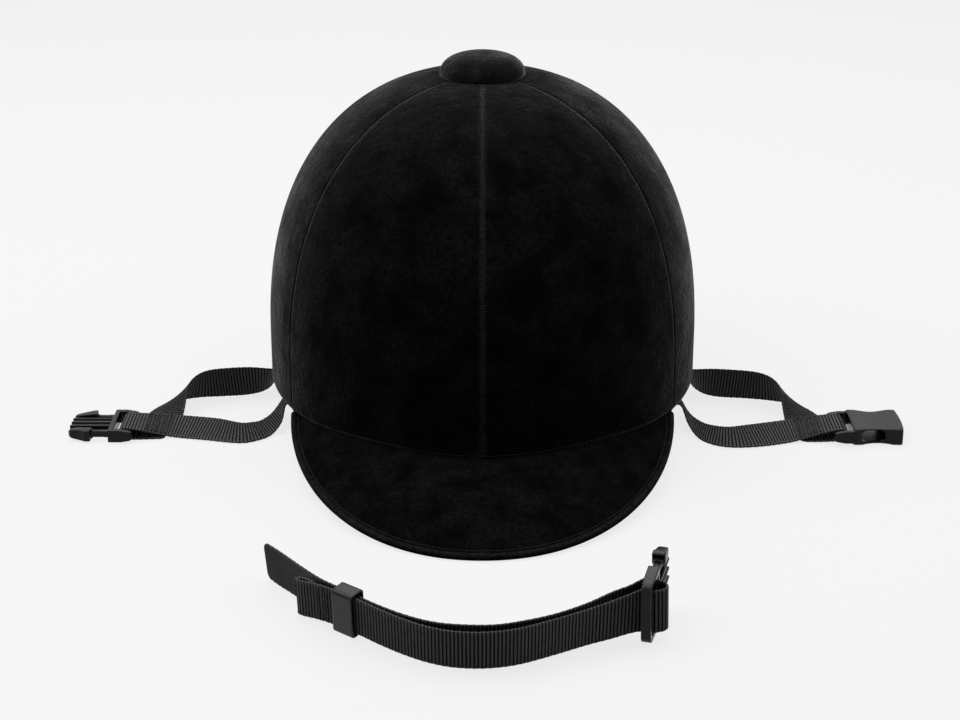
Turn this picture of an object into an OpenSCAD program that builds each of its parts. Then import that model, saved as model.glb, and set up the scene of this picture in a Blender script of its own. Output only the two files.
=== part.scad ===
// Velvet covered riding helmet with a webbing harness on each side and a loose chin strap.
// Millimetres. The table under it is z = 0, the peak points along -Y, and x = 0 is the middle plane.
// Left and right are the wearer's: the wearer's right side is on -X.

/* [Dome] */
// Width over the velvet at the widest section
dome_w = 212; // [200:1:225]
// From the widest section to the front of the velvet
dome_front = 132; // [124:1:140]
// From the widest section to the back of the velvet
dome_back = 127; // [120:1:136]
// Height of the crown above the table
crown_h = 164; // [155:1:175]
// Height of the widest section above the table
wide_h = 36; // [32:1:42]
// Fullness of the side profile, where 2 is an ellipse
profile_n = 2.36; // [2:0.02:2.8]
// Fullness of the plan outline, where 2 is an ellipse
plan_n = 2.04; // [2:0.02:2.4]

/* [Layers] */
// Thickness of the velvet and its glue
velvet_t = 1.5; // [1:0.1:2]
// Wall of the moulded shell
shell_t = 3; // [2:0.1:4]
// Thickness of the foam liner
foam_t = 16; // [12:0.5:20]
// Thickness of the padded headband
headband_t = 6.5; // [4:0.5:8]
// Height of the padded headband
headband_h = 38; // [28:1:48]
// Gap between the headband and the foam
band_gap = 0.4; // [0.3:0.1:0.6]
// Half angle of the crown pad, measured down from the crown
crown_pad_a = 26; // [18:1:32]
// Thickness of the crown pad
crown_pad_t = 5; // [3:0.5:7]

/* [Rim] */
// Height of the rim above the table over the ears
rim_side_h = 16.7; // [12:0.1:20]
// Height of the seam between velvet and peak at the centre front
seam_front_h = 19; // [17:0.1:22]
// Rise of that seam half way to the temples
seam_arch = 2; // [0:0.1:3]
// Thickness of the binding under the rim
bind_t = 0.8; // [0.6:0.1:1.2]
// Height of the binding inside the rim
bind_h = 7; // [4:0.5:10]
// Depth of the flat on which the back rim rests
foot_cut = 0.5; // [0.3:0.1:1]

/* [Peak] */
// Angle from the centre front to the peak's ends
peak_a = 58.4; // [52:0.2:62]
// Width of the peak's edge
peak_w = 179.6; // [172:0.2:190]
// From the widest section to the tip of the peak
peak_reach = 194.7; // [185:0.1:205]
// From the widest section to the middle of the peak's outline
peak_mid = 58.9; // [50:0.1:66]
// Height of the edge above the table at the temples
peak_end_h = 15.5; // [12:0.5:17]
// Thickness of the peak's stiffener at its root
peak_core_t = 2.2; // [1.6:0.1:3]
// Thickness of the velvet on top of the peak
peak_top_t = 1.2; // [0.8:0.1:1.6]
// Thickness of the lining under the peak
peak_under_t = 0.8; // [0.5:0.1:1.2]
// Rise of the peak's top above a straight line from root to edge
peak_crown = 4; // [1:0.5:6]
// Diameter of the piping along the peak's edge
piping_d = 3.2; // [2.8:0.1:4]

/* [Button] */
// Diameter of the covered button
button_d = 41.4; // [34:0.2:46]
// Height of the covered button above the crown
button_h = 11.5; // [8:0.5:16]
// Height of its widest line above the crown
button_lift = 2.5; // [1.5:0.5:4]
// Diameter of the button's shank
stud_d = 5; // [4:0.5:6]
// Diameter of the nut's washer
washer_d = 18; // [12:0.5:22]
// Thickness of the washer
washer_t = 1.2; // [0.8:0.1:2]
// Width across the nut's flats
nut_w = 8; // [7:0.5:10]
// Thickness of the nut
nut_t = 4; // [3:0.5:5]

/* [Webbing] */
// Width of the webbing
webbing_w = 20; // [16:0.5:21]
// Thickness of the webbing
webbing_t = 1.4; // [1:0.1:1.8]
// Height of the line about which each harness swings
swing_h = 12; // [10:0.5:14]
// Length of the anchor tabs inside the shell
tab_l = 30; // [22:1:36]
// Diameter of the anchor rivets
rivet_d = 4; // [3:0.5:5]
// Diameter of the rivets' heads
rivet_head_d = 8; // [7:0.5:10]
// Thickness of the rivets' heads
rivet_head_t = 1.2; // [0.8:0.1:1.6]

/* [Buckles] */
// Width of the buckles
buckle_w = 27; // [26:0.5:30]
// Thickness of the socket half
buckle_t = 8.6; // [8:0.2:10]
// Height of the frame round the webbing's bar
ear_h = 6.2; // [5.8:0.1:7]
// Diameter of the bar that the webbing goes round
bar_d = 2.8; // [2.4:0.1:3.4]
// From that bar to the cross wall
slot_l = 5.2; // [5:0.1:7]
// Thickness of the cross wall
wall_t = 2.2; // [1.8:0.1:3]
// From the bar to the tips of the prongs
prong_reach = 27; // [26:0.5:30]
// Thickness of the prongs' heads
prong_t = 5.6; // [4.8:0.2:6]
// Width of the guide blade between the prongs
blade_w = 10; // [8:0.2:10.4]
// From the bar to the mouth of the socket half
socket_l = 28.5; // [27:0.5:31]
// Height of the guide blade's ribs
rib_h = 4.6; // [3:0.2:5]
// From the bar to the tail bar of the chin strap's buckle
tail_l = 7.5; // [7:0.5:9]

/* [Keeper] */
// Length of the keeper along the strap
keeper_l = 9; // [6:0.5:12]
// Wall of the keeper
keeper_t = 0.8; // [0.7:0.1:1.5]
// Slack between the keeper and the webbing
keeper_slack = 0.5; // [0.4:0.05:0.8]

/* [Fits] */
// Running clearance between pieces that move
clear = 0.3; // [0.2:0.05:0.4]
// Clearance of pins and studs in their holes
hole_clear = 0.15; // [0.1:0.05:0.3]

/* [Hidden] */

velvet_c = [0.07, 0.07, 0.075];
lining_c = [0.11, 0.11, 0.12];
shell_c = [0.16, 0.16, 0.17];
foam_c = [0.3, 0.3, 0.31];
webbing_c = [0.19, 0.19, 0.2];
plastic_c = [0.23, 0.23, 0.25];
metal_c = [0.66, 0.66, 0.68];

// Depths under the velvet's surface
in_velvet = velvet_t;
in_shell = velvet_t + shell_t;
in_foam = in_shell + foam_t;

// The six velvet panels meet at these angles, counted from the centre front
seams = [-180, -120, -peak_a, 0, peak_a, 120, 180];
panel_cols = 7;
wall_rows = 7;
pad_rows = 2;

function span(a, b, n) = [for (i = [0:n]) a + (b - a) * i / n];
function ring_angles() = [for (k = [0:len(seams) - 2], i = [0:panel_cols - 1])
    seams[k] + (seams[k + 1] - seams[k]) * i / panel_cols];
function share(v, e) = sign(v) * pow(abs(v), e);
function unit(v) = v / norm(v);

// Point of the dome at angle a from the front, at height angle t from the widest
// section to the crown, at depth d under the velvet's surface
function dome(a, t, d) = let (
    r = pow(max(cos(t), 0), 2 / profile_n),
    l = (cos(a) > 0 ? dome_front : dome_back) - d)
    [(dome_w / 2 - d) * r * share(sin(a), 2 / plan_n), -l * r * share(cos(a), 2 / plan_n),
     wide_h + (crown_h - wide_h - d) * pow(max(sin(t), 0), 2 / profile_n)];
// The height angle at which a layer at depth d has the half width r
function top_angle(r, d) = acos(pow(r / (dome_w / 2 - d), profile_n / 2));

// Heights of the rim round the dome
function rim_h(a) = cos(a) > 0 ? rim_side_h + (seam_front_h - rim_side_h) * pow(cos(a), 2)
    : max(0, rim_side_h * (1 - pow(cos(a), 2)) - foot_cut);
function in_peak(a) = abs(a) <= peak_a + 0.01;
function seam_h(a) = rim_h(a) + seam_arch * pow(sin(180 * min(abs(a) / peak_a, 1)), 2);
peak_stack = peak_top_t + peak_core_t + peak_under_t;
function cover_base(a) = in_peak(a) ? seam_h(a) : rim_h(a) + bind_t;
function shell_base(a) = in_peak(a) ? seam_h(a) - peak_stack : rim_h(a) + bind_t;
function foam_base(a) = shell_base(a) + bind_h + 1;

// Holes round the button's stud: through velvet and shell, and wider in the foam
stud_hole = stud_d / 2 + hole_clear;
foam_hole = washer_d / 2 + 2;

// Height angles of a layer's rows at depth d. Every layer has its rows at the crown pad's
// edge and at both holes, so that neighbouring layers meet facet to facet.
pad_edge = 90 - crown_pad_a;
function foam_rows(d) = let (hole = top_angle(foam_hole, d)) [
    each span(0, pad_edge, wall_rows),
    for (i = [1:pad_rows]) pad_edge + (hole - pad_edge) * i / pad_rows];
function full_rows(d) = [each foam_rows(d), top_angle(stud_hole, d)];

// Column of points at angle a: the wall's foot at height base, then the rows
function column(a, d, base, rows) = [
    let (p = dome(a, 0, d)) [p.x, p.y, base],
    for (t = rows) dome(a, t, d)];

// Closed skin between two grids of points. Seen from outside, columns run left to right
// and rows run up. A ring joins its last column to its first.
module skin(outer, inner, ring = false) {
    n = len(outer);
    m = len(outer[0]);
    pts = [each [for (c = outer) each c], each [for (c = inner) each c]];
    out = [for (i = [0:n - 1]) [for (j = [0:m - 1]) i * m + j]];
    inn = [for (i = [0:n - 1]) [for (j = [0:m - 1]) n * m + i * m + j]];
    last = ring ? n - 1 : n - 2;
    polyhedron(pts, [
        for (i = [0:last], j = [0:m - 2]) let (k = (i + 1) % n) each [
            [out[i][j], out[i][j + 1], out[k][j + 1]], [out[i][j], out[k][j + 1], out[k][j]],
            [inn[i][j], inn[k][j + 1], inn[i][j + 1]], [inn[i][j], inn[k][j], inn[k][j + 1]]],
        for (i = [0:last]) let (k = (i + 1) % n) each [
            [out[i][0], out[k][0], inn[k][0]], [out[i][0], inn[k][0], inn[i][0]],
            [out[i][m - 1], inn[i][m - 1], inn[k][m - 1]],
            [out[i][m - 1], inn[k][m - 1], out[k][m - 1]]],
        if (!ring) for (j = [0:m - 2]) each [
            [out[0][j], inn[0][j], inn[0][j + 1]], [out[0][j], inn[0][j + 1], out[0][j + 1]],
            [out[n - 1][j], out[n - 1][j + 1], inn[n - 1][j + 1]],
            [out[n - 1][j], inn[n - 1][j + 1], inn[n - 1][j]]]]);
}

// Closed tube through rings of points. Seen along the route, each ring turns clockwise.
module tube(rings, closed = false) {
    n = len(rings);
    m = len(rings[0]);
    last = closed ? n - 1 : n - 2;
    polyhedron([for (r = rings) each r], [
        for (i = [0:last], j = [0:m - 1]) let (k = (i + 1) % n, l = (j + 1) % m) each [
            [i * m + j, i * m + l, k * m + l], [i * m + j, k * m + l, k * m + j]],
        if (!closed) for (j = [1:m - 2]) each [
            [0, j + 1, j], [(n - 1) * m, (n - 1) * m + j, (n - 1) * m + j + 1]]]);
}

// Dome pieces

module outer_shell() {
    color(shell_c)
        difference() {
            skin([for (a = ring_angles()) column(a, in_velvet, shell_base(a), full_rows(in_velvet))],
                [for (a = ring_angles()) column(a, in_shell, shell_base(a), full_rows(in_shell))],
                ring = true);
            for (k = [0:3])
                at_anchor(k)
                    translate([0, 0, -2 * shell_t - tab_gap])
                        cylinder(h = 2 * shell_t + tab_gap, d = rivet_d + 2 * hole_clear, $fn = 32);
        }
}

module cover(k) {
    cols = span(seams[k], seams[k + 1], panel_cols);
    color(velvet_c)
        skin([for (a = cols) column(a, 0, cover_base(a), full_rows(0))],
            [for (a = cols) column(a, in_velvet, cover_base(a), full_rows(in_velvet))]);
}

// The foam has a pocket for each anchor tab and its rivet
module impact_liner() {
    pocket_w = webbing_w + 4 * clear;
    color(foam_c)
        difference() {
            skin([for (a = ring_angles()) column(a, in_shell, foam_base(a), foam_rows(in_shell))],
                [for (a = ring_angles()) column(a, in_foam, foam_base(a), foam_rows(in_foam))],
                ring = true);
            for (k = [0:3])
                at_anchor(k)
                    translate([-pocket_w / 2, -rivet_up, -2 * tab_gap])
                        cube([pocket_w, tab_l + 2 * clear,
                            2 * tab_gap + webbing_t + rivet_head_t + clear]);
        }
}

// Point of the layer at depth d that lies at height z
function layer_at(a, z, d) = let (
    t = z <= wide_h ? 0 : asin(pow((z - wide_h) / (crown_h - wide_h - d), profile_n / 2)),
    p = dome(a, t, d))
    [p.x, p.y, z];

// Padded band, lying in the foam and puffed out towards the head
module headband() {
    rows = 5;
    back = in_foam + band_gap;
    low = -3;
    function band_z(a, j) = foam_base(a) + low + (headband_h - low) * j / rows;
    function puff(j) = sin(180 * (j + 0.35) / (rows + 0.7));
    color(lining_c)
        skin([for (a = ring_angles()) [for (j = [0:rows]) layer_at(a, band_z(a, j), back)]],
            [for (a = ring_angles()) [for (j = [0:rows])
                layer_at(a, band_z(a, j), back + headband_t * puff(j))]], ring = true);
}

// Round pad under the crown, closed over the stud's end
module crown_pad() {
    rows = [for (t = full_rows(in_foam)) if (t >= pad_edge - 0.01) t];
    depth = [for (i = [0:len(rows) - 1]) in_foam + crown_pad_t * (i == 0 ? 0.5 : 1)];
    color(lining_c)
        union() {
            skin([for (a = ring_angles()) [for (t = rows) dome(a, t, in_foam)]],
                [for (a = ring_angles()) [for (i = [0:len(rows) - 1]) dome(a, rows[i], depth[i])]],
                ring = true);
            translate([0, 0, crown_h - in_foam - crown_pad_t + 0.1])
                cylinder(h = crown_pad_t - 0.2, r = stud_hole * 1.5, $fn = 32);
        }
}

// Strip folded round the bottom of the shell, flat where the back rim rests
module rim_binding() {
    color(lining_c)
        tube([for (a = ring_angles()) let (
            o = dome(a, 0, in_peak(a) ? in_velvet : 0.2),
            s = dome(a, 0, in_shell),
            i = dome(a, 0, in_shell + bind_t),
            z = shell_base(a))
            [[o.x, o.y, z], [s.x, s.y, z], [s.x, s.y, z + bind_h],
             [i.x, i.y, z + bind_h], [i.x, i.y, z - bind_t], [o.x, o.y, z - bind_t]]], closed = true);
}

// Peak pieces

peak_n = 2.055;
peak_cols = 22;
peak_rows = 5;
peak_sweep = 85;
edge_stack = 2.2;
edge_rise = 1.3;
piping_sides = 8;
piping_rings = 36;

// Edge line of the peak, u from end to end. Both ends are led to the seam between the front
// and side panels: they stop ahead of it, and sink a little into the velvet.
end_ahead = 1.82;
end_sink = 0.33;
end_lead = 8;
function edge_line(u) = let (e = peak_sweep * u)
    [peak_w / 2 * share(sin(e), 2 / peak_n),
     -peak_mid - (peak_reach - peak_mid) * share(cos(e), 2 / peak_n)];
seam_foot = dome(peak_a, 0, 0);
seam_ahead = unit(dome(peak_a - 1, 0, 0) - dome(peak_a + 1, 0, 0));
end_shift = [seam_foot.x, seam_foot.y] + end_ahead * [seam_ahead.x, seam_ahead.y]
    - end_sink * [-seam_ahead.y, seam_ahead.x] - edge_line(1);
function edge_xy(u) = edge_line(u)
    + pow(abs(u), end_lead) * [sign(u) * end_shift.x, end_shift.y];
function edge_h(u) = let (
    low = piping_d / 2,
    s = (edge_xy(u).y + peak_reach) / (edge_xy(1).y + peak_reach))
    low + (peak_end_h - low) * pow(max(s, 0), edge_rise);
// Level direction away from the edge
function edge_out(u) = let (t = unit(edge_xy(u + 0.01) - edge_xy(u - 0.01))) [t.y, -t.x];

// Point on the peak, u from end to end, v from the shell to the piping, drop under the top.
// The layers stop where the peak has narrowed to nothing between the shell and the piping.
root_share = 0.973;
edge_share = 0.994;
bead_gap = 0.05;
function peak_pt(u, v, drop) = let (
    root_a = peak_a * root_share * u,
    edge_u = edge_share * u,
    root = dome(root_a, 0, in_velvet - hole_clear),
    bead = piping_d / 2 * cos(180 / piping_sides) + bead_gap,
    e = edge_xy(edge_u) - edge_out(edge_u) * bead,
    z0 = seam_h(root_a),
    z1 = edge_h(edge_u) + edge_stack / 2,
    thin = 1 - (1 - edge_stack / peak_stack) * v)
    [root.x + (e.x - root.x) * v, root.y + (e.y - root.y) * v,
     z0 + (z1 - z0) * v + peak_crown * 4 * v * (1 - v) * cos(90 * u) - drop * thin];

// A layer of the peak from drop d0 to drop d1 under its top surface
module peak_layer(d0, d1) {
    function grid(drop) = [for (u = span(-1, 1, peak_cols))
        [for (j = [0:peak_rows]) peak_pt(u, 1 - pow(1 - j / peak_rows, 1.2), drop)]];
    skin(grid(d1), grid(d0));
}
module peak_cover() {
    color(velvet_c)
        peak_layer(0, peak_top_t);
}
module peak_core() {
    color(shell_c)
        peak_layer(peak_top_t, peak_top_t + peak_core_t);
}
module peak_lining() {
    color(lining_c)
        peak_layer(peak_top_t + peak_core_t, peak_stack);
}
module peak_piping() {
    color(velvet_c)
        tube([for (u = span(-1, 1, piping_rings)) let (e = edge_xy(u), out = edge_out(u))
            [for (k = [0:piping_sides - 1]) let (g = 360 * (k + 0.5) / piping_sides)
                [e.x, e.y, edge_h(u)] + piping_d / 2 * [out.x * cos(g), out.y * cos(g), sin(g)]]]);
}

// Button and its fixing

button_z = crown_h + button_lift;
stud_head_h = 8;
washer_z = dome(90, top_angle(washer_d / 2, in_shell), in_shell).z - washer_t - 0.1;
stud_end = washer_z - nut_t - 2;

// Height of the crown r from its middle, along the helmet
function crown_z(r) = wide_h + (crown_h - wide_h)
    * pow(sin(acos(pow(r / dome_front, profile_n / 2))), 2 / profile_n);

module top_button() {
    r = button_d / 2;
    foot_r = 0.72 * r;
    seat = 0.1;
    foot_z = crown_z(foot_r) + seat;
    top = button_h - button_lift;
    color(velvet_c)
        difference() {
            rotate_extrude($fn = 64)
                polygon([
                    for (f = [0:0.25:1]) [foot_r * f, crown_z(foot_r * f) + seat],
                    for (g = [15:15:75])
                        [foot_r + (r - foot_r) * sin(g), button_z - (button_z - foot_z) * cos(g)],
                    for (g = [0:10:80]) [r * pow(cos(g), 0.8), button_z + top * pow(sin(g), 0.9)],
                    [0, button_z + top]]);
            translate([0, 0, crown_h - 1])
                cylinder(h = stud_head_h + 1 + 2 * hole_clear, d = stud_d + 2 * hole_clear, $fn = 32);
        }
}
module button_stud() {
    color(metal_c)
        translate([0, 0, stud_end])
            cylinder(h = crown_h + stud_head_h - stud_end, d = stud_d, $fn = 32);
}
module stud_washer() {
    color(metal_c)
        translate([0, 0, washer_z])
            difference() {
                cylinder(h = washer_t, d = washer_d, $fn = 48);
                translate([0, 0, -1])
                    cylinder(h = washer_t + 2, d = stud_d + 2 * hole_clear, $fn = 32);
            }
}
module stud_nut() {
    color(metal_c)
        translate([0, 0, washer_z - nut_t])
            difference() {
                cylinder(h = nut_t, d = nut_w / cos(30), $fn = 6);
                translate([0, 0, -1])
                    cylinder(h = nut_t + 2, d = stud_d + 2 * hole_clear, $fn = 32);
            }
}

// Anchors of the four straps, inside the shell over the swing line

anchor_y = [-38, 9];
tab_gap = bind_t + 0.8;
tab_in = in_shell + tab_gap + webbing_t / 2;
function anchor_a(y) = let (l = y < 0 ? dome_front - in_shell : dome_back - in_shell)
    acos(share(-y / l, plan_n / 2));
anchor_angles = [for (y = anchor_y) anchor_a(y)];
function swing_pt(k, side) = let (p = dome(side * anchor_angles[k], 0, tab_in)) [p.x, p.y, swing_h];
function swing_dir(side) = unit(swing_pt(1, side) - swing_pt(0, side));
// Level direction along the shell's wall at anchor k, from the front backwards
function wall_dir(k, side) = let (a = side * anchor_angles[k])
    unit(dome(a + side, 0, in_shell) - dome(a - side, 0, in_shell));
rivet_up = 16;
rivet_in = shell_t - 0.4;
// The tabs end short of the swing line, so that the straps clear them as they turn
tab_lift = webbing_t / 2 + clear;

// Frame on the inner face of the shell at anchor k: z points inwards, y up
module at_anchor(k) {
    side = k < 2 ? -1 : 1;
    p = swing_pt(k % 2, side);
    d = wall_dir(k % 2, side);
    translate([p.x, p.y, swing_h + rivet_up])
        rotate([0, 0, atan2(d.y, d.x) - (side < 0 ? 0 : 180)])
            rotate([90, 0, 0])
                translate([0, 0, -webbing_t / 2])
                    children();
}
module anchor_tabs() {
    color(webbing_c)
        for (k = [0:3])
            at_anchor(k)
                difference() {
                    translate([-webbing_w / 2, tab_lift - rivet_up, 0])
                        cube([webbing_w, tab_l - tab_lift, webbing_t]);
                    translate([0, 0, -1])
                        cylinder(h = webbing_t + 2, d = rivet_d + 2 * hole_clear, $fn = 32);
                }
}
module anchor_rivets() {
    color(metal_c)
        for (k = [0:3])
            at_anchor(k)
                union() {
                    translate([0, 0, -tab_gap - rivet_in])
                        cylinder(h = tab_gap + rivet_in + webbing_t, d = rivet_d, $fn = 32);
                    translate([0, 0, webbing_t])
                        cylinder(h = rivet_head_t, d = rivet_head_d, $fn = 32);
                }
}

// Webbing
// A route's rows are x and y of the strap's middle, the height of its lower edge, and the
// width direction, whose length is the share of the width that lies across there.

front_route_right = [
    [-98, -42, 7, 0.15, -0.95, 0.2], [-101, -50, 2.5, 0.4, -0.85, 0.25],
    [-107, -58.5, 1, 0.55, -0.8, 0.05], [-116, -62.5, 0.9, 0.1, -0.97, -0.1],
    [-131, -58.5, 0.9, -0.15, -0.98, -0.15], [-146, -54, 1, -0.1, -0.98, -0.15],
    [-156, -55, 3.4, 0, -0.99, -0.1], [-166, -57, 5.5, 0, -1, -0.03]];
rear_route_right = [
    [-103, 2.5, 4.5, 0.2, -0.86, 0.42], [-108, -7, 0.8, 0.15, -0.62, 0.77],
    [-118, -12.5, 0.4, 0, -0.43, 0.9], [-132, -15, 0.4, 0, -0.42, 0.9],
    [-142, -17.5, 0.4, 0.1, -0.45, 0.89], [-149, -20.5, 0.4, 0.2, -0.5, 0.84],
    [-151, -25.5, 0.6, 0.13, -0.76, 0.66], [-154, -31, 0.8, -0.24, -0.7, 0.4],
    [-157, -38, 1.4, -0.5, -0.7, 0.12], [-160, -46, 2.3, -0.4, -0.85, 0],
    [-162, -51, 2.3, -0.2, -0.95, 0]];
front_route_left = [
    [98.5, -43, 7, -0.15, -0.95, 0.2], [102, -51.5, 2.5, -0.4, -0.85, 0.25],
    [108.5, -61, 1, -0.55, -0.8, 0.05], [118, -67, 0.9, -0.05, -0.97, -0.1],
    [131, -66.5, 0.9, 0.15, -0.98, -0.15], [145, -61.5, 1, 0.15, -0.98, -0.15],
    [156, -59.5, 3.7, 0, -0.99, -0.1], [166, -60.5, 6.2, 0, -1, -0.03]];
rear_route_left = [
    [102.5, 2.5, 4.5, -0.2, -0.86, 0.42], [107.5, -8, 0.8, -0.15, -0.62, 0.77],
    [117, -15, 0.4, 0, -0.43, 0.9], [133, -18, 0.4, 0, -0.43, 0.9],
    [143.5, -21.5, 0.4, -0.1, -0.46, 0.88], [150.5, -25, 0.4, -0.2, -0.52, 0.82],
    [152, -29.5, 0.6, -0.13, -0.76, 0.66], [154.5, -36, 0.8, 0.24, -0.7, 0.4],
    [157.5, -43, 1.4, 0.5, -0.7, 0.12], [160, -50.5, 2.6, 0.4, -0.85, 0],
    [162, -55, 2.6, 0.2, -0.95, 0]];

// Middle point and width vector of one row of a route
function station(r) = [[r[0], r[1], r[2] + webbing_w / 2 * abs(r[5])], [r[3], r[4], r[5]]];
function stations(route) = [for (r = route) station(r)];
// The strap's start on the swing line at anchor k
function at_swing(k, side) = let (p = swing_pt(k, side))
    [[p.x, p.y, swing_h + clear], -swing_dir(side)];
// Smooth curve through the stations, each split into steps
function curve(p, steps) = let (n = len(p)) [
    for (i = [0:n - 2], s = [0:steps - 1]) let (
        a = p[i], b = p[i + 1],
        z = i > 0 ? p[i - 1] : 2 * a - b,
        c = i < n - 2 ? p[i + 2] : 2 * b - a,
        f = s / steps)
        0.5 * (2 * a + (b - z) * f + (2 * z - 5 * a + 4 * b - c) * f * f
            + (3 * a - z - 3 * b + c) * f * f * f),
    p[n - 1]];

// Flat strip of webbing through rings of middle point and width vector
module ribbon(p, width = webbing_w, thick = webbing_t) {
    n = len(p);
    tube([for (i = [0:n - 1]) let (
        t = unit(p[min(i + 1, n - 1)][0] - p[max(i - 1, 0)][0]),
        w = p[i][1] * width / 2,
        h = unit(cross(t, w)) * thick / 2,
        m = p[i][0])
        [m - w - h, m - w + h, m + w + h, m + w - h]]);
}

// The buckle's bar on each side, and the webbing that goes round it and back under itself
bar_x = 172;
function bar_y(side) = side < 0 ? -57 : -60.5;
plug_rest = 0.4;
function bar_z(side) = side < 0 ? ear_h / 2 + plug_rest : buckle_t / 2;
wrap_slack = 0.3;
wrap_r = bar_d / 2 + clear + wrap_slack + webbing_t / 2;
wrap_steps = 6;
return_l = 19;
return_bend = 6;
return_lay = 14;
return_drift = 0.5;
return_z = webbing_t / 2 + 0.1;
function wrap(side) = [
    for (k = [0:wrap_steps]) let (g = 90 - 180 * k / wrap_steps)
        [[side * (bar_x + wrap_r * cos(g)), bar_y(side), bar_z(side) + wrap_r * sin(g)], [0, -1, 0]],
    [[side * (bar_x - return_bend), bar_y(side), (bar_z(side) - wrap_r + return_z) / 2], [0, -1, 0]],
    [[side * (bar_x - return_lay), bar_y(side) + return_drift, return_z], [0, -1, 0]],
    [[side * (bar_x - return_l), bar_y(side) + 2 * return_drift, return_z], [0, -1, 0]]];
strap_steps = 4;
module front_strap(route, side) {
    color(webbing_c)
        ribbon([each curve([at_swing(0, side), each stations(route)], strap_steps), each wrap(side)]);
}
module rear_strap(route, side) {
    color(webbing_c)
        ribbon(curve([at_swing(1, side), each stations(route)], strap_steps));
}

// Buckles, drawn with the webbing's bar on the y axis and the tips along x

ear_t = 2.7;
ear_back = 4.5;
ear_nose_d = 5;
tail_d = 2.4;
tail_h = 4;
tail_frame_t = 4.6;
frame_r = 4;
wall_end = slot_l + wall_t;

// Outline of an ear, seen from its side
module ear_outline() {
    nose_x = ear_nose_d / 2 - ear_back;
    translate([nose_x, 0])
        circle(d = ear_nose_d, $fn = 40);
    polygon([[nose_x, -ear_nose_d / 2], [bar_d / 2, -ear_h / 2], [wall_end, -ear_h / 2],
        [wall_end, ear_h / 2], [bar_d / 2, ear_h / 2], [nose_x, ear_nose_d / 2]]);
}
// Two ears with the bar between them
module side_frame() {
    for (s = [-1, 1])
        translate([0, s * (buckle_w - ear_t) / 2, 0])
            rotate([90, 0, 0])
                linear_extrude(ear_t, center = true)
                    ear_outline();
    main_bar();
}
module main_bar() {
    rotate([90, 0, 0])
        cylinder(h = buckle_w - ear_t, d = bar_d, center = true, $fn = 32);
}

// Plan of a frame that ends in round corners of radius r at its tail
function frame_plan(front, back, half, r) = [
    [front, -half],
    for (g = [270:-15:180]) [r * (1 + cos(g)) - back, r * (1 + sin(g)) - half],
    for (g = [180:-15:90]) [r * (1 + cos(g)) - back, half - r * (1 - sin(g))],
    [front, half]];
// Frame with a tail bar, where the webbing's length is set. Its sides thin out to the tail.
module tail_frame() {
    back = tail_l + tail_d / 2;
    half = buckle_w / 2;
    intersection() {
        linear_extrude(2 * tail_frame_t, center = true)
            difference() {
                polygon(frame_plan(wall_end, back, half, frame_r));
                polygon(frame_plan(slot_l, back - tail_d, half - ear_t, frame_r / 2));
            }
        rotate([90, 0, 0])
            linear_extrude(buckle_w + 2, center = true)
                polygon([[-back, -tail_h / 2], [0, -tail_frame_t / 2], [wall_end, -tail_frame_t / 2],
                    [wall_end, tail_frame_t / 2], [0, tail_frame_t / 2], [-back, tail_h / 2]]);
    }
    main_bar();
}

// Plug half: its frame, a cross wall, and a guide blade with a rib on each edge and one
// along its middle
module plug_body(tailed = false) {
    blade_x = wall_end - 0.5;
    blade_l = prong_reach - blade_x;
    blade_t = 2;
    rib_w = 1.3;
    wall_h = tailed ? tail_frame_t : ear_h;
    color(plastic_c)
        union() {
            if (tailed) tail_frame();
            else side_frame();
            translate([slot_l, -buckle_w / 2, -wall_h / 2])
                cube([wall_t, buckle_w, wall_h]);
            translate([blade_x, -blade_w / 2, -blade_t / 2])
                cube([blade_l, blade_w, blade_t]);
            for (s = [-1, 0, 1])
                translate([blade_x, s * (blade_w - rib_w) / 2 - rib_w / 2, -rib_h / 2])
                    cube([blade_l, rib_w, rib_h]);
        }
}

// One sprung prong, on side s: a thin arm with a barbed head that narrows to its tip
arm_inset = 5.3;
arm_y = buckle_w / 2 - arm_inset;
arm_w = 2.2;
arm_h = 0.6 * prong_t;
head_l = 11;
prong_root = wall_end + clear;
module prong(s) {
    out = buckle_w / 2 - 0.3;
    tip = prong_reach;
    neck = tip - head_l;
    foot = 0.4;
    tip_h = 0.45 * prong_t;
    outline = [
        [prong_root, arm_y - foot], [prong_root + 3, arm_y], [neck, arm_y],
        for (g = [0:15:75]) [tip - head_l * 0.75 * cos(g), arm_y - 0.8 * sin(g)],
        [tip, arm_y + 0.8], [tip - 1.2, arm_y + 2.2],
        for (g = [30:15:90]) [tip - head_l * 0.75 * sin(g), out - (out - arm_y - 2.2) * pow(cos(g), 2)],
        [neck + 0.4, out], [neck, out - 0.4], [neck, arm_y + arm_w],
        [prong_root + 3, arm_y + arm_w], [prong_root, arm_y + arm_w + foot]];
    function head_at(g) = [neck + 2 + (head_l - 2) * sin(g),
        tip_h / 2 + (prong_t - tip_h) / 2 * cos(g)];
    edge = [for (g = [0:15:90]) head_at(g)];
    side = [[prong_root, arm_h / 2], [neck - 1, arm_h / 2], [neck, prong_t / 2], each edge];
    color(plastic_c)
        intersection() {
            linear_extrude(2 * prong_t, center = true)
                polygon([for (p = outline) [p.x, s * p.y]]);
            rotate([90, 0, 0])
                linear_extrude(2 * buckle_w, center = true)
                    polygon([each side, for (i = [len(side) - 1:-1:0]) [side[i].x, -side[i].y]]);
        }
}

// Socket half: a body with a waist in its width and in its height, open at its mouth, with
// a window in each side where the prongs' heads spring out
waist_in = 4.5;
waist_thin = 1.2;
waist_w = buckle_w - waist_in;
waist_t = buckle_t - waist_thin;
side_wall = 1.8;
cavity_h = prong_t + clear;
window_start = 1.5;
window_x = wall_end + window_start;
window_l = 11.5;
window_r = 2.4;
corner_r = 2;
lip = 2;
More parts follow.
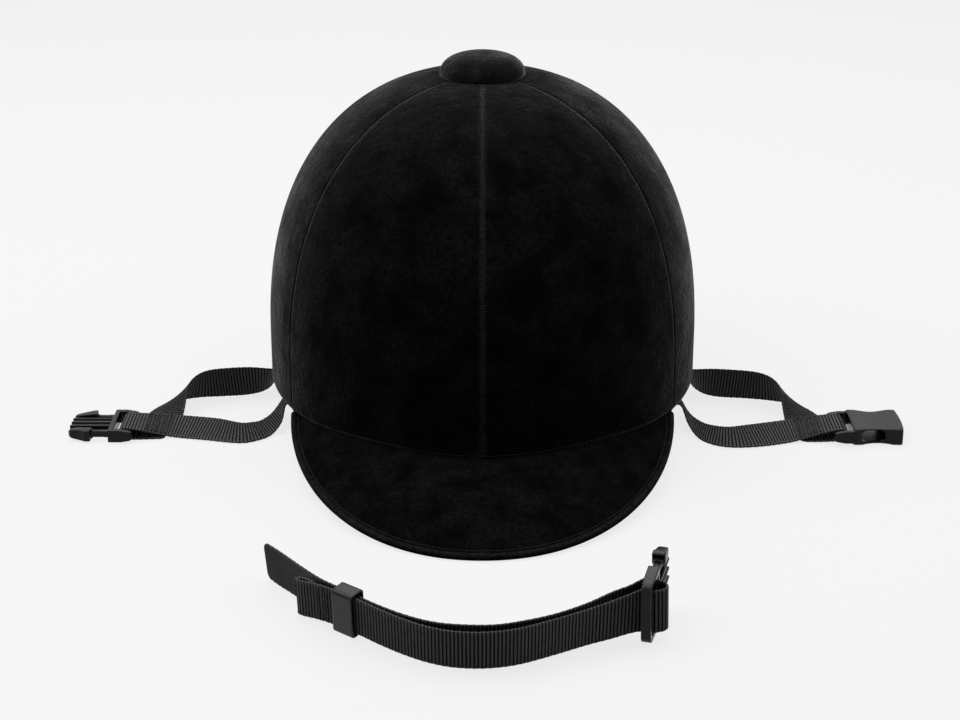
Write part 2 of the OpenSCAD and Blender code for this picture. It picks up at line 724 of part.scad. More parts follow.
// Part of the way to the waist, f from -1 at the wall to 1 at the mouth
function drawn_in(f) = pow(cos(90 * f), 1.6);
function body_x(f) = (slot_l + socket_l) / 2 + (socket_l - slot_l) / 2 * f;
module socket_outline() {
    w = buckle_w / 2;
    function side_y(f) = w - (w - waist_w / 2) * drawn_in(f);
    polygon([
        for (f = [-1:0.1:1]) [body_x(f), -side_y(f)],
        for (g = [-60:20:60]) [socket_l + lip * (cos(g) - 0.5), w * sin(g) / sin(60)],
        for (f = [1:-0.1:-1]) [body_x(f), side_y(f)]]);
}
module socket_profile() {
    function top(f) = (buckle_t - (buckle_t - waist_t) * drawn_in(f)) / 2;
    polygon([
        for (f = [-1:0.1:1]) [body_x(f), -top(f)],
        [socket_l + lip, -top(1)], [socket_l + lip, top(1)],
        for (f = [1:-0.1:-1]) [body_x(f), top(f)]]);
}
module rounded(w, h, r) {
    square([w - 2 * r, h], center = true);
    square([w, h - 2 * r], center = true);
    for (sx = [-1, 1], sy = [-1, 1])
        translate([sx * (w / 2 - r), sy * (h / 2 - r)])
            circle(r = r, $fn = 32);
}
module socket_body() {
    inner_w = waist_w - 2 * side_wall;
    mouth_w = 2 * (arm_y + arm_w + clear);
    mouth_x = window_x + window_l;
    color(plastic_c)
        difference() {
            union() {
                side_frame();
                intersection() {
                    linear_extrude(2 * buckle_t, center = true)
                        socket_outline();
                    rotate([90, 0, 0])
                        linear_extrude(2 * buckle_w, center = true)
                            socket_profile();
                    rotate([0, 90, 0])
                        linear_extrude(socket_l + 4)
                            rounded(buckle_t, buckle_w, corner_r);
                }
            }
            translate([wall_end, -inner_w / 2, -cavity_h / 2])
                cube([socket_l, inner_w, cavity_h]);
            translate([mouth_x - 0.5, -mouth_w / 2, -cavity_h / 2])
                cube([socket_l, mouth_w, cavity_h]);
            translate([window_x + window_l / 2, 0, 0])
                rotate([90, 0, 0])
                    linear_extrude(buckle_w + 2, center = true)
                        rounded(window_l, cavity_h, window_r);
        }
}

module at_plug_right() {
    translate([-bar_x, bar_y(-1), bar_z(-1)])
        rotate([0, 0, 180])
            children();
}
module at_socket_left() {
    translate([bar_x, bar_y(1), bar_z(1)])
        children();
}

// Chin strap, standing on its edge in front of the peak

// The strap leans towards the front, and is lifted where the keeper lies under it
chin_u = [0, -0.31, 0.95];
function lean_rows(rows) = [for (r = rows)
    [[r[0], r[1], r[2] + webbing_w / 2 * chin_u.z], chin_u]];
chin_front = [
    [-66, -248.5, 0.4], [-70.5, -245, 0.4], [-73.4, -244.6, 0.3], [-71.5, -247.2, 0.4],
    [-65, -251.6, 1.1], [-58, -257.4, 1.8], [-48, -265.6, 1.8], [-40, -272, 1.2],
    [-30, -279, 0.5], [-20, -285, 0.3], [-10, -288.5, 0.3], [2, -289, 0.3],
    [14, -286, 0.3], [28, -278.5, 0.3], [40, -272, 0.7]];
chin_front_end = [[50, -268.5, 2, 0, -0.25, 0.97], [57, -266.4, 3.4, 0, -0.2, 0.98]];
chin_back_start = [[57, -259.5, 3.4, 0, -0.2, 0.98], [50, -261.5, 2, 0, -0.25, 0.97]];
chin_back = [
    [40, -267, 0.7], [28, -274.5, 0.3], [16, -280, 0.3], [4, -283.4, 0.3],
    [-10, -283, 0.3], [-20, -280.5, 0.3], [-30, -275.5, 0.5], [-40, -269.2, 1.2],
    [-48, -263, 1.8], [-57, -254.6, 1.8], [-64, -246.5, 1]];
chin_tail = [
    [-72, -236, 0.4, 0, -0.32, 0.95], [-79, -227, 0.4, 0, -0.38, 0.93],
    [-84, -221, 0.4, 0, -0.45, 0.9], [-88, -217, 0.4, 0, -0.5, 0.87]];

// The chin buckle's bar stands on end, and its frame turns and leans about this point
chin_turn = 74;
chin_lean = 8;
chin_bar = [65, -262.5,
    buckle_w / 2 * cos(chin_lean) + (tail_l + tail_d / 2) * sin(chin_lean) + 0.2];
chin_ahead = [cos(chin_turn) * cos(chin_lean), sin(chin_turn) * cos(chin_lean), sin(chin_lean)];
chin_side = [sin(chin_turn), -cos(chin_turn), 0];
chin_up = cross(chin_side, chin_ahead);
function chin_at(x, y) = [chin_bar + x * chin_ahead + y * chin_side, chin_up];
chin_loop = [chin_at(-3.9, -2), chin_at(-3.9, 2.5), chin_at(-1, 6.5), chin_at(2.6, 5.5),
    chin_at(3.4, 1.5), chin_at(3.3, -3)];

module chin_webbing() {
    color(webbing_c)
        ribbon(curve([each lean_rows(chin_front), each stations(chin_front_end), each chin_loop,
            each stations(chin_back_start), each lean_rows(chin_back), each stations(chin_tail)], 2));
}

// Sleeve round both layers, resting on the table, with the strap on its lower wall
keeper_lift = 2;
keeper_at = [-53, -259.9, keeper_lift + webbing_w / 2 * chin_u.z];
keeper_turn = -40;
keeper_lean = atan2(-chin_u.y * cos(keeper_turn), chin_u.z);
keeper_gap = 3.2;
module chin_keeper() {
    in_w = webbing_w + 2 * keeper_slack;
    in_t = keeper_gap + webbing_t + 2 * keeper_slack;
    color(plastic_c)
        translate(keeper_at)
            rotate([keeper_lean, 0, keeper_turn])
                rotate([0, 90, 0])
                    linear_extrude(keeper_l, center = true)
                        difference() {
                            rounded(in_w + 2 * keeper_t, in_t + 2 * keeper_t, 1.6);
                            rounded(in_w, in_t, 0.8);
                        }
}

module at_chin_buckle() {
    translate(chin_bar)
        rotate([0, 0, chin_turn])
            rotate([0, -chin_lean, 0])
                rotate([90, 0, 0])
                    children();
}

outer_shell();
impact_liner();
headband();
crown_pad();
rim_binding();
cover(2);  // cover_front_right
cover(3);  // cover_front_left
cover(1);  // cover_side_right
cover(4);  // cover_side_left
cover(0);  // cover_back_right
cover(5);  // cover_back_left
peak_core();
peak_cover();
peak_lining();
peak_piping();
top_button();
button_stud();
stud_washer();
stud_nut();
anchor_tabs();
anchor_rivets();
front_strap(front_route_right, -1);  // front_strap_right
rear_strap(rear_route_right, -1);  // rear_strap_right
at_plug_right() plug_body();  // buckle_plug_right
at_plug_right() prong(1);  // plug_prong_front_right
at_plug_right() prong(-1);  // plug_prong_rear_right
front_strap(front_route_left, 1);  // front_strap_left
rear_strap(rear_route_left, 1);  // rear_strap_left
at_socket_left() socket_body();  // buckle_socket_left
chin_webbing();
chin_keeper();
at_chin_buckle() plug_body(true);  // chin_buckle
at_chin_buckle() prong(1);  // chin_prong_upper
at_chin_buckle() prong(-1);  // chin_prong_lower
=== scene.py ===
import math

import bmesh
import bpy
import numpy as np
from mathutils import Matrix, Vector


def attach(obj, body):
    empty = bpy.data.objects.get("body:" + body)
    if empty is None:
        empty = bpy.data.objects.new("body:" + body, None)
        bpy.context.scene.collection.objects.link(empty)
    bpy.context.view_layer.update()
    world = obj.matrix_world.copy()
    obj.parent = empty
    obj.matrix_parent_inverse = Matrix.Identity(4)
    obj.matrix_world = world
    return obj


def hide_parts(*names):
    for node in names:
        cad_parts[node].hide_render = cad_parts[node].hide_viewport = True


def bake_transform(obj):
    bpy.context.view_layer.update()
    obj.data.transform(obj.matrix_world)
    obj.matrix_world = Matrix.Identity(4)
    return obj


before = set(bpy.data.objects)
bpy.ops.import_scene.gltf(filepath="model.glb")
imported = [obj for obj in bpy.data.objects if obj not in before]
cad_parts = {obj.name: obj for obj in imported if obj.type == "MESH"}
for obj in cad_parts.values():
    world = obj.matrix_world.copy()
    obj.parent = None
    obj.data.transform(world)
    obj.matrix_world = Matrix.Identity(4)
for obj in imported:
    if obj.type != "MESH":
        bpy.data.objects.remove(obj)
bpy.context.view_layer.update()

# Camera
# The photograph was taken from 0.9 m in front of the helmet, 21 degrees above the table,
# with a long lens. The picture's middle column is at 482.5 of its 960 pixels.
PHOTO_W = 960
FOCAL_PX = 2020.7
MIDDLE_PX = 482.5
SENSOR_W = 36
CAMERA_PLACE = (0, -0.9597, 0.3843)
CAMERA_AIM = (0, -0.1151, 0.060)


def add_object(name, data):
    """A new object of the scene, at the origin."""
    made = bpy.data.objects.new(name, data)
    bpy.context.scene.collection.objects.link(made)
    return made


def point_at(thing, place, aim):
    """Stands a camera or a lamp at a place and points it at another."""
    thing.location = place
    thing.rotation_euler = (Vector(aim) - Vector(place)).to_track_quat("-Z", "Y").to_euler()


camera_data = bpy.data.cameras.new("camera")
camera_data.sensor_width = SENSOR_W
camera_data.lens = SENSOR_W * FOCAL_PX / PHOTO_W
camera_data.shift_x = (PHOTO_W / 2 - MIDDLE_PX) / PHOTO_W
camera = add_object("camera", camera_data)
point_at(camera, CAMERA_PLACE, CAMERA_AIM)
bpy.context.scene.camera = camera


# Table, backdrop and lamps
# A pale sheet of board lies under the helmet, and a large soft box hangs over each side.
# The board keeps a faint shadow, and everything round it is the same pale grey.
BACKDROP = 0.913
TABLE_R = 6
BOARD_SEEN = 0.7
BOARD_UNSEEN = 0.3
PLAIN_SHARE = 0.86
WORLD_LEVEL = 0.2
LAMP_AIM = (0, 0, 0.05)
LAMPS = {"box_top": ((-0.15, 0.05, 1.4), (1.3, 1.3), 15),
         "box_left": ((-0.95, -0.15, 1.0), (0.9, 0.9), 9),
         "box_right": ((0.95, -0.1, 1.0), (0.9, 0.9), 5),
         "box_back": ((0, 1.0, 1.2), (1.4, 0.6), 7)}


def add_node(tree, kind, values=None, **settings):
    """A new node with its settings, and with its inputs set, or linked to other sockets. A
    node given as a value stands for its first output."""
    made = tree.nodes.new(kind)
    for name, value in settings.items():
        setattr(made, name, value)
    for name, value in (values or {}).items():
        if isinstance(value, bpy.types.Node):
            value = value.outputs[0]
        if isinstance(value, bpy.types.NodeSocket):
            tree.links.new(value, made.inputs[name])
        else:
            made.inputs[name].default_value = value
    return made


def calculator(tree):
    """What adds a maths node to a tree and gives the node's result."""
    def maths(operation, a, b=0.0, c=0.0):
        return add_node(tree, "ShaderNodeMath", {0: a, 1: b, 2: c},
                        operation=operation).outputs[0]
    return maths


def grey(value):
    return (value, value, value, 1)


def mix(tree, part, low, high):
    """A colour between two others."""
    return add_node(tree, "ShaderNodeMix", {0: part, 6: low, 7: high},
                    data_type="RGBA").outputs[2]


def tone(tree, part, dark, light):
    """A grey between two others."""
    return mix(tree, part, grey(dark), grey(light))


def new_material(name):
    """A material with an empty tree."""
    made = bpy.data.materials.new(name)
    made.use_nodes = True
    made.node_tree.nodes.clear()
    return made, made.node_tree


def end_tree(tree, shader, kind="ShaderNodeOutputMaterial"):
    """Ends a tree with what it shows."""
    tree.links.new(shader.outputs[0], tree.nodes.new(kind).inputs["Surface"])


def seen_by_eye(tree):
    """1 for rays that the camera sees straight, in a mirror or through glass."""
    path = add_node(tree, "ShaderNodeLightPath").outputs
    maths = calculator(tree)
    return maths("MAXIMUM", maths("MAXIMUM", path["Is Camera Ray"], path["Is Glossy Ray"]),
                 path["Is Transmission Ray"])


def make_table():
    mesh = bpy.data.meshes.new("table")
    shape = bmesh.new()
    bmesh.ops.create_circle(shape, cap_ends=True, segments=64, radius=TABLE_R)
    shape.to_mesh(mesh)
    shape.free()
    board, tree = new_material("pale_board")
    seen = seen_by_eye(tree)
    lit = add_node(tree, "ShaderNodeBsdfDiffuse",
                   {"Color": tone(tree, seen, BOARD_UNSEEN, BOARD_SEEN)})
    plain = add_node(tree, "ShaderNodeEmission", {"Color": grey(BACKDROP), "Strength": 1})
    end_tree(tree, add_node(tree, "ShaderNodeMixShader", {
        0: calculator(tree)("MULTIPLY", seen, PLAIN_SHARE), 1: lit, 2: plain}))
    mesh.materials.append(board)
    add_object("table", mesh)


def make_world():
    world = bpy.data.worlds.new("studio")
    bpy.context.scene.world = world
    world.use_nodes = True
    tree = world.node_tree
    tree.nodes.clear()
    level = add_node(tree, "ShaderNodeMapRange", {"Value": seen_by_eye(tree),
                     "To Min": WORLD_LEVEL, "To Max": 1.0})
    end_tree(tree, add_node(tree, "ShaderNodeBackground", {
        "Color": grey(BACKDROP), "Strength": level}), "ShaderNodeOutputWorld")


def add_lamp(name, place, size, watts):
    data = bpy.data.lights.new(name, "AREA")
    data.shape = "RECTANGLE"
    data.size, data.size_y = size
    data.energy = watts
    point_at(add_object(name, data), place, LAMP_AIM)


make_table()
make_world()
for lamp, (place, size, watts) in LAMPS.items():
    add_lamp(lamp, place, size, watts)
bpy.context.scene.view_settings.view_transform = "Standard"


# Velvet of the dome
# Six panels of black cotton velvet, sewn together along the crown and glued over the
# shell. Each is turned under along its seams, so a shallow furrow runs between them.
MM = 0.001
HALF_W = 106 * MM
FRONT = 132 * MM
BACK = 127 * MM
CROWN = 164 * MM
WIDE_H = 36 * MM
PROFILE = 2.36
PLAN = 2.04
RIM_SIDE = 16.7 * MM
RIM_FRONT = 19 * MM
RIM_CUT = 0.5 * MM
SEAM_ARCH = 2 * MM
PEAK_A = 58.4
VELVET_T = 1.5 * MM
BIND_T = 0.8 * MM
ROLL_R = 1.3 * MM
STUD_HOLE = 2.65 * MM
PANELS = {"cover_back_right": (-180, -120), "cover_side_right": (-120, -PEAK_A),
          "cover_front_right": (-PEAK_A, 0), "cover_front_left": (0, PEAK_A),
          "cover_side_left": (PEAK_A, 120), "cover_back_left": (120, 180)}
PANEL_W = 105 * MM
PANEL_L = 190 * MM
EDGE_COLUMNS = np.array([0, 0.12, 0.3, 0.6, 0.9, 1.3, 2.0]) * MM
EDGE_ROWS = np.array([0, 0.15, 0.4, 0.8, 1.3, 2.2]) * MM
COLUMN_W = 2.5 * MM

# Along the middle seam the pile is paler over a band that widens at its foot, along the
# others at their edge: wear, and painted sheen on the seams.
MIDDLE_WEAR_SHEEN_W = 2 * MM
MIDDLE_WEAR_SHEEN_FOOT_W = 2.6 * MM
MIDDLE_WEAR_SHEEN_FOOT_H = 11 * MM
MIDDLE_WEAR_SHEEN = 0.7
EDGE_WEAR_SHEEN_W = 1.2 * MM
EDGE_WEAR_SHEEN = 0.12


def share(value, power):
    """A power that keeps the value's sign, for superellipses."""
    return np.sign(value) * np.abs(value) ** power


def dome(a, t, depth):
    """Points at angle a round the dome and t up it, in degrees, at a depth under the velvet."""
    a, t = np.radians(a), np.radians(t)
    r = np.maximum(np.cos(t), 0) ** (2 / PROFILE)
    length = np.where(np.cos(a) > 0, FRONT, BACK) - depth
    x = (HALF_W - depth) * r * share(np.sin(a), 2 / PLAN)
    y = -length * r * share(np.cos(a), 2 / PLAN)
    z = WIDE_H + (CROWN - WIDE_H - depth) * np.maximum(np.sin(t), 0) ** (2 / PROFILE)
    return np.stack(np.broadcast_arrays(x, y, z), -1)


def rim_height(a):
    """Height of the rim's lower edge at angle a."""
    c = np.cos(np.radians(a))
    front = RIM_SIDE + (RIM_FRONT - RIM_SIDE) * c ** 2
    back = np.maximum(0, RIM_SIDE * (1 - c ** 2) - RIM_CUT)
    return np.where(c > 0, front, back)


def seam_height(a):
    """Height of the seam between the velvet and the peak's top."""
    near = np.minimum(np.abs(a) / PEAK_A, 1)
    return rim_height(a) + SEAM_ARCH * np.sin(np.pi * near) ** 2


def over_peak(a):
    return abs(a) <= PEAK_A + 0.01


def cover_base(a):
    """Height at which the velvet begins at angle a: on the peak, or on the rim's binding."""
    return float(seam_height(a) if over_peak(a) else rim_height(a) + BIND_T)


def hole_angle(radius, depth):
    """How far up the dome a hole of this radius in the crown begins, in degrees."""
    return math.degrees(math.acos((radius / (HALF_W - depth)) ** (PROFILE / 2)))


def run_along(line):
    """The length of a line up to each of its points."""
    return np.concatenate([[0], np.cumsum(np.linalg.norm(np.diff(line, axis=0), axis=1))])


def up_wall(a, base, top, parts, depth=0):
    """Angles and heights at shares of the way up the wall at angle a, and the way's length.
    The way starts at the height base and ends at the angle top."""
    fine = np.linspace(0, top, 400)
    curve = dome(a, fine, depth)
    line = np.concatenate([[[*curve[0][:2], base]], curve])
    run = run_along(line)
    there = parts * run[-1]
    angles = np.interp(there, run, np.concatenate([[0], fine]))
    return angles, np.interp(there, run, line[:, 2]), run[-1]


def on_wall(a, t, z, depth):
    """Points of the wall at its angles and heights: upright up to the widest line."""
    points = dome(a, t, depth)
    low = z < WIDE_H - 1e-6
    points[low, 2] = z[low]
    return points


def thick_skin(outer, inner, ring=False):
    """Vertices and faces of a closed skin between two grids, columns by rows."""
    n, m = outer.shape[:2]
    grid = np.arange(n * m).reshape(n, m)
    if ring:
        grid = np.concatenate([grid, grid[:1]])
    inside = grid + n * m

    def quads(g):
        return np.stack([g[:-1, :-1], g[1:, :-1], g[1:, 1:], g[:-1, 1:]], -1).reshape(-1, 4)

    def wall(p, q):
        return np.stack([p[:-1], q[:-1], q[1:], p[1:]], -1)

    faces = [quads(grid), quads(inside)[:, ::-1],
             wall(grid[:, 0], inside[:, 0])[:, ::-1], wall(grid[:, -1], inside[:, -1])]
    if not ring:
        faces += [wall(grid[0], inside[0]), wall(grid[-1], inside[-1])[:, ::-1]]
    return np.concatenate([outer.reshape(-1, 3), inner.reshape(-1, 3)]), np.concatenate(faces)


def new_piece(name, skin, material):
    """A smooth mesh object at the origin, with its place in its vertices."""
    points, faces = skin
    mesh = bpy.data.meshes.new(name)
    mesh.from_pydata([tuple(p) for p in points], [], [tuple(int(i) for i in f) for f in faces])
    mesh.validate()
    mesh.materials.append(material)
    mesh.shade_smooth()
    return add_object(name, mesh)


def put_attribute(piece, name, values):
    made = piece.data.attributes.new(name, "FLOAT", "POINT")
    made.data.foreach_set("value", np.asarray(values, np.float32).ravel())


def fix(piece, slot, *solids, body="helmet"):
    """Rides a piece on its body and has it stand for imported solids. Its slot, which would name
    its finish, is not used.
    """
    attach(piece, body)
    if solids:
        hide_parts(*solids)


def worn(distance, width, most):
    """How much paler the pile is at a distance from a seam, fading out over a width: wear, and
    painted sheen.
    """
    return np.clip(1 - distance / width, 0, 1) * most


def roll(distance, radius=ROLL_R):
    """How deep a turned edge sinks at a distance from its seam."""
    near = np.clip(1 - distance / radius, 0, 1)
    return radius * (1 - np.sqrt(1 - near ** 2))


def new_tree(name, kind, inputs, outputs):
    """A node group with its named inputs and outputs, and the sockets of its two ends."""
    tree = bpy.data.node_groups.new(name, kind)
    for way, sockets in (("INPUT", inputs), ("OUTPUT", outputs)):
        for label, socket, *value in sockets:
            made = tree.interface.new_socket(label, in_out=way, socket_type="NodeSocket" + socket)
            if value:
                made.default_value = value[0]
    return (tree, tree.nodes.new("NodeGroupInput").outputs,
            tree.nodes.new("NodeGroupOutput").inputs)


def object_place(tree):
    return add_node(tree, "ShaderNodeTexCoord").outputs["Object"]


def noise(tree, scale, detail=2.0, rough=0.5, twist=0.0, place=None):
    return add_node(tree, "ShaderNodeTexNoise", {
        "Vector": place or object_place(tree), "Scale": scale, "Detail": detail,
        "Roughness": rough, "Distortion": twist}).outputs["Fac"]


def spread(tree, value, low, high, to_low=0.0, to_high=1.0):
    """A value's range from low to high laid over another range."""
    return add_node(tree, "ShaderNodeMapRange", {
        "Value": value, "From Min": low, "From Max": high, "To Min": to_low,
        "To Max": to_high}).outputs[0]


def coat(tree, colour, height, strength, depth, finish):
    """Ends a material's tree with its colour, its fine relief and its finish."""
    bump = add_node(tree, "ShaderNodeBump", {
        "Height": height, "Strength": strength, "Distance": depth})
    end_tree(tree, add_node(tree, "ShaderNodeBsdfPrincipled", {
        "Base Color": colour, "Normal": bump, **finish}))


def nap_group():
    """Colour, height and lean of velvet: patches where the pile leans, specks, tufts, and paler
    pile where the Edge mask says, for wear and painted sheen.
    """
    tree, given, out = new_tree("velvet_nap", "ShaderNodeTree", (
        ("Deep", "Color", grey(0)), ("Pale", "Color", grey(1)), ("Rubbed", "Color", grey(0.02)),
        ("Patch Size", "Float", 0.02), ("Edge", "Float", 0.0)),
        (("Color", "Color"), ("Height", "Float"), ("Lean", "Float")))
    maths = calculator(tree)
    wide = noise(tree, maths("DIVIDE", 1.0, given["Patch Size"]), 4.0, 0.62, 0.15)
    patches = spread(tree, wide, 0.34, 0.66)
    specks = spread(tree, noise(tree, 520.0, 3.0, 0.65), 0.36, 0.66)
    tufts = noise(tree, 2600.0)
    level = maths("MULTIPLY", patches, maths("MULTIPLY_ADD", specks, 1.0, 0.3))
    # Paler pile and stronger sheen where the Edge mask says: wear, and painted sheen on seams and
    # rims.
    wear_sheen_share = maths("MULTIPLY", given["Edge"], maths("MULTIPLY_ADD", specks, 1.0, 0.45))
    pile = mix(tree, level, given["Deep"], given["Pale"])
    height = maths("MULTIPLY_ADD", specks, 0.35,
                   maths("MULTIPLY_ADD", tufts, 0.12, maths("MULTIPLY", patches, 0.7)))
    tree.links.new(mix(tree, wear_sheen_share, pile, given["Rubbed"]), out["Color"])
    tree.links.new(height, out["Height"])
    tree.links.new(maths("ADD", level, wear_sheen_share), out["Lean"])
    return tree


NAP = nap_group()


def velvet_material(name, deep, pale, sheen, patch=0.018):
    """Velvet whose pile is lit where it leans, and paler where the attribute turned says: wear,
    and painted sheen.
    """
    made, tree = new_material(name)
    edge = add_node(tree, "ShaderNodeAttribute", attribute_name="turned").outputs["Fac"]
    nap = add_node(tree, "ShaderNodeGroup", {"Deep": grey(deep), "Pale": grey(pale),
                   "Patch Size": patch, "Edge": edge}, node_tree=NAP).outputs
    coat(tree, nap["Color"], nap["Height"], 0.28, 1.2 * MM, {
        "Roughness": 0.95, "Specular IOR Level": 0.02,
        "Sheen Weight": spread(tree, nap["Lean"], 0.0, 1.0, sheen * 0.6, sheen * 1.9),
        "Sheen Roughness": 0.28, "Sheen Tint": grey(0.8)})
    return made


VELVET = velvet_material("black_velvet", deep=0.0002, pale=0.0045, sheen=0.24)


def panel_columns(width):
    """Shares across a panel, with the columns that its two turned edges need."""
    edge = EDGE_COLUMNS / width
    plain = np.linspace(edge[-1], 1 - edge[-1], max(int(width / COLUMN_W), 3))
    return np.concatenate([edge[:-1], plain, 1 - edge[-2::-1]])


def make_panel(name, a0, a1):
    turn = math.radians(a1 - a0)
    rows = np.concatenate([EDGE_ROWS[:-1] / PANEL_L, np.linspace(EDGE_ROWS[-1] / PANEL_L, 1, 76)])
    outer, inner, turned = [], [], []
    for s in panel_columns(PANEL_W * turn):
        a = a0 + (a1 - a0) * s
        t, z, length = up_wall(a, cover_base(a), hole_angle(STUD_HOLE, 0), rows)
        width = np.hypot(*dome(a, t, 0)[:, :2].T) * turn
        gap = np.minimum(np.minimum(s, 1 - s) * width, rows * length)
        outer.append(on_wall(a, t, z, roll(gap)))
        inner.append(on_wall(a, t, z, VELVET_T))
        # Paler pile along the panel's edges, and over a wider band beside the middle seam: wear,
        # and painted sheen.
        wear_sheen = worn(gap, EDGE_WEAR_SHEEN_W, EDGE_WEAR_SHEEN)
        if 0 in (a0, a1):
            reach = MIDDLE_WEAR_SHEEN_W + MIDDLE_WEAR_SHEEN_FOOT_W * np.exp(-(rows * length / MIDDLE_WEAR_SHEEN_FOOT_H) ** 2)
            wear_sheen = np.maximum(wear_sheen, worn((s if a0 == 0 else 1 - s) * width, reach, MIDDLE_WEAR_SHEEN))
        turned.append(wear_sheen)
    piece = new_piece(name + "_velvet", thick_skin(np.array(outer), np.array(inner)), VELVET)
    put_attribute(piece, "turned", turned * 2)
    fix(piece, "velvet", name)


for panel, (first, last) in PANELS.items():
    make_panel(panel, first, last)


# Peak
# A stiff plastic blade, curved to shade the eyes and glued to the shell's front. Velvet
# covers its top, thin leathercloth its underside, and a velvet piping binds its edge.
PEAK_W = 179.6 * MM
PEAK_REACH = 194.7 * MM
PEAK_MID = 58.9 * MM
PEAK_N = 2.055
PEAK_SWEEP = 85
PEAK_CROWN = 4 * MM
PEAK_END_H = 15.5 * MM
PEAK_COLUMNS = 181
PEAK_ROWS = np.concatenate([[0, 0.004, 0.012, 0.025], np.linspace(0.045, 0.955, 44),
                            [0.975, 0.988, 0.996, 1]])
STACK_T = 4.2 * MM
EDGE_T = 2.2 * MM
EDGE_RISE = 1.3
TOP_T = 1.2 * MM
CORE_T = 2.2 * MM
LAYER_LEAST = 0.1 * MM
PIPING_D = 3.2 * MM
PIPING_HOLD = 0.93
PIPING_COLUMNS = 241
PIPING_SIDES = 20
END_AHEAD = 1.82 * MM
END_SINK = 0.33 * MM
END_LEAD = 8
ROOT_SHARE = 0.973
EDGE_SHARE = 0.994
ROOT_DEPTH = 1.35 * MM
NEAR_U = 0.004
# Paler pile by the peak's root seam and its front edge, and along the piping's upper ridge: wear,
# with painted sheen at the seams and a painted highlight on the ridge.
ROOT_WEAR_SHEEN_W = 1 * MM
ROOT_WEAR_SHEEN = 0.5
FRONT_WEAR_SHEEN_W = 1.6 * MM
FRONT_WEAR_SHEEN = 0.15
RIDGE_TURN = 0.5
RIDGE_WEAR_HIGHLIGHT = 0.4


def edge_line(u):
    e = np.radians(PEAK_SWEEP * u)
    return np.stack([PEAK_W / 2 * share(np.sin(e), 2 / PEAK_N),
                     -PEAK_MID - (PEAK_REACH - PEAK_MID) * share(np.cos(e), 2 / PEAK_N)], -1)


def piping_end():
    """Where the piping stops, just ahead of the seam and a little sunk into the velvet."""
    ahead = dome(PEAK_A - 1, 0, 0)[:2] - dome(PEAK_A + 1, 0, 0)[:2]
    ahead /= np.linalg.norm(ahead)
    return dome(PEAK_A, 0, 0)[:2] + END_AHEAD * ahead - END_SINK * np.array([-ahead[1], ahead[0]])


END_SHIFT = piping_end() - edge_line(np.array(1.0))


def edge_place(u):
    """The middle of the piping at u, from -1 at the right end to 1 at the left."""
    u = np.asarray(u, float)
    lead = np.abs(u) ** END_LEAD
    place = edge_line(u) + np.stack([lead * np.sign(u) * END_SHIFT[0], lead * END_SHIFT[1]], -1)
    low = PIPING_D / 2
    rise = np.clip((place[..., 1] + PEAK_REACH) / (piping_end()[1] + PEAK_REACH), 0, None)
    return place, low + (PEAK_END_H - low) * rise ** EDGE_RISE


def edge_out(u):
    """Level direction away from the peak at u."""
    way = edge_place(u + NEAR_U)[0] - edge_place(u - NEAR_U)[0]
    way /= np.linalg.norm(way, axis=-1, keepdims=True)
    return np.stack([way[..., 1], -way[..., 0]], -1)


def peak_point(u, v, drop):
    """A point at u across the peak and v from the shell to the piping, drop under the top."""
    root_a = PEAK_A * ROOT_SHARE * u
    edge_u = EDGE_SHARE * u
    root = dome(root_a, 0, ROOT_DEPTH)
    edge, edge_h = edge_place(edge_u)
    edge = edge - edge_out(edge_u) * PIPING_D / 2 * PIPING_HOLD
    root_z = seam_height(root_a)
    rise = edge_h + EDGE_T / 2 - root_z
    thin = 1 - (1 - EDGE_T / STACK_T) * v
    bulge = PEAK_CROWN * 4 * v * (1 - v) * np.cos(np.pi / 2 * u)
    return np.stack([root[..., 0] + (edge[..., 0] - root[..., 0]) * v,
                     root[..., 1] + (edge[..., 1] - root[..., 1]) * v,
                     root_z + rise * v + bulge - drop * thin], -1)


def across_peak(count):
    """Places across the peak, closest at its two ends."""
    return np.sin(np.linspace(-1, 1, count) * np.pi / 2)


def peak_layer(name, top, low, material, slot, turn):
    """One layer of the peak, turned down along the seam and the piping."""
    u, v = np.meshgrid(across_peak(PEAK_COLUMNS), PEAK_ROWS, indexing="ij")
    ends = np.linalg.norm(peak_point(u, 1.0, 0) - peak_point(u, 0.0, 0), axis=-1)
    gap = np.minimum(v, 1 - v) * ends
    outer = peak_point(u, v, top + np.minimum(roll(gap, turn), low - top - LAYER_LEAST))
    points, faces = thick_skin(outer, peak_point(u, v, low))
    piece = new_piece(name + "_layer", (points, faces[:, ::-1]), material)
    # Paler pile by the root seam and by the piping: wear, and painted sheen.
    wear_sheen = worn(v * ends, ROOT_WEAR_SHEEN_W, ROOT_WEAR_SHEEN) + worn((1 - v) * ends, FRONT_WEAR_SHEEN_W, FRONT_WEAR_SHEEN)
    put_attribute(piece, "turned", [wear_sheen, wear_sheen * 0])
    fix(piece, slot, name)


def tube_skin(rings, closed=False):
    """Vertices and faces of a tube through rings of points, with caps where it is open."""
    n, m = rings.shape[:2]
    grid = np.arange(n * m).reshape(n, m)
    grid = np.concatenate([grid, grid[:, :1]], 1)
    if closed:
        grid = np.concatenate([grid, grid[:1]])
    quads = np.stack([grid[:-1, :-1], grid[:-1, 1:], grid[1:, 1:], grid[1:, :-1]], -1)
    faces = [list(q) for q in quads.reshape(-1, 4)]
    if not closed:
        faces += [list(grid[0, :-1][::-1]), list(grid[-1, :-1])]
    return rings.reshape(-1, 3), faces


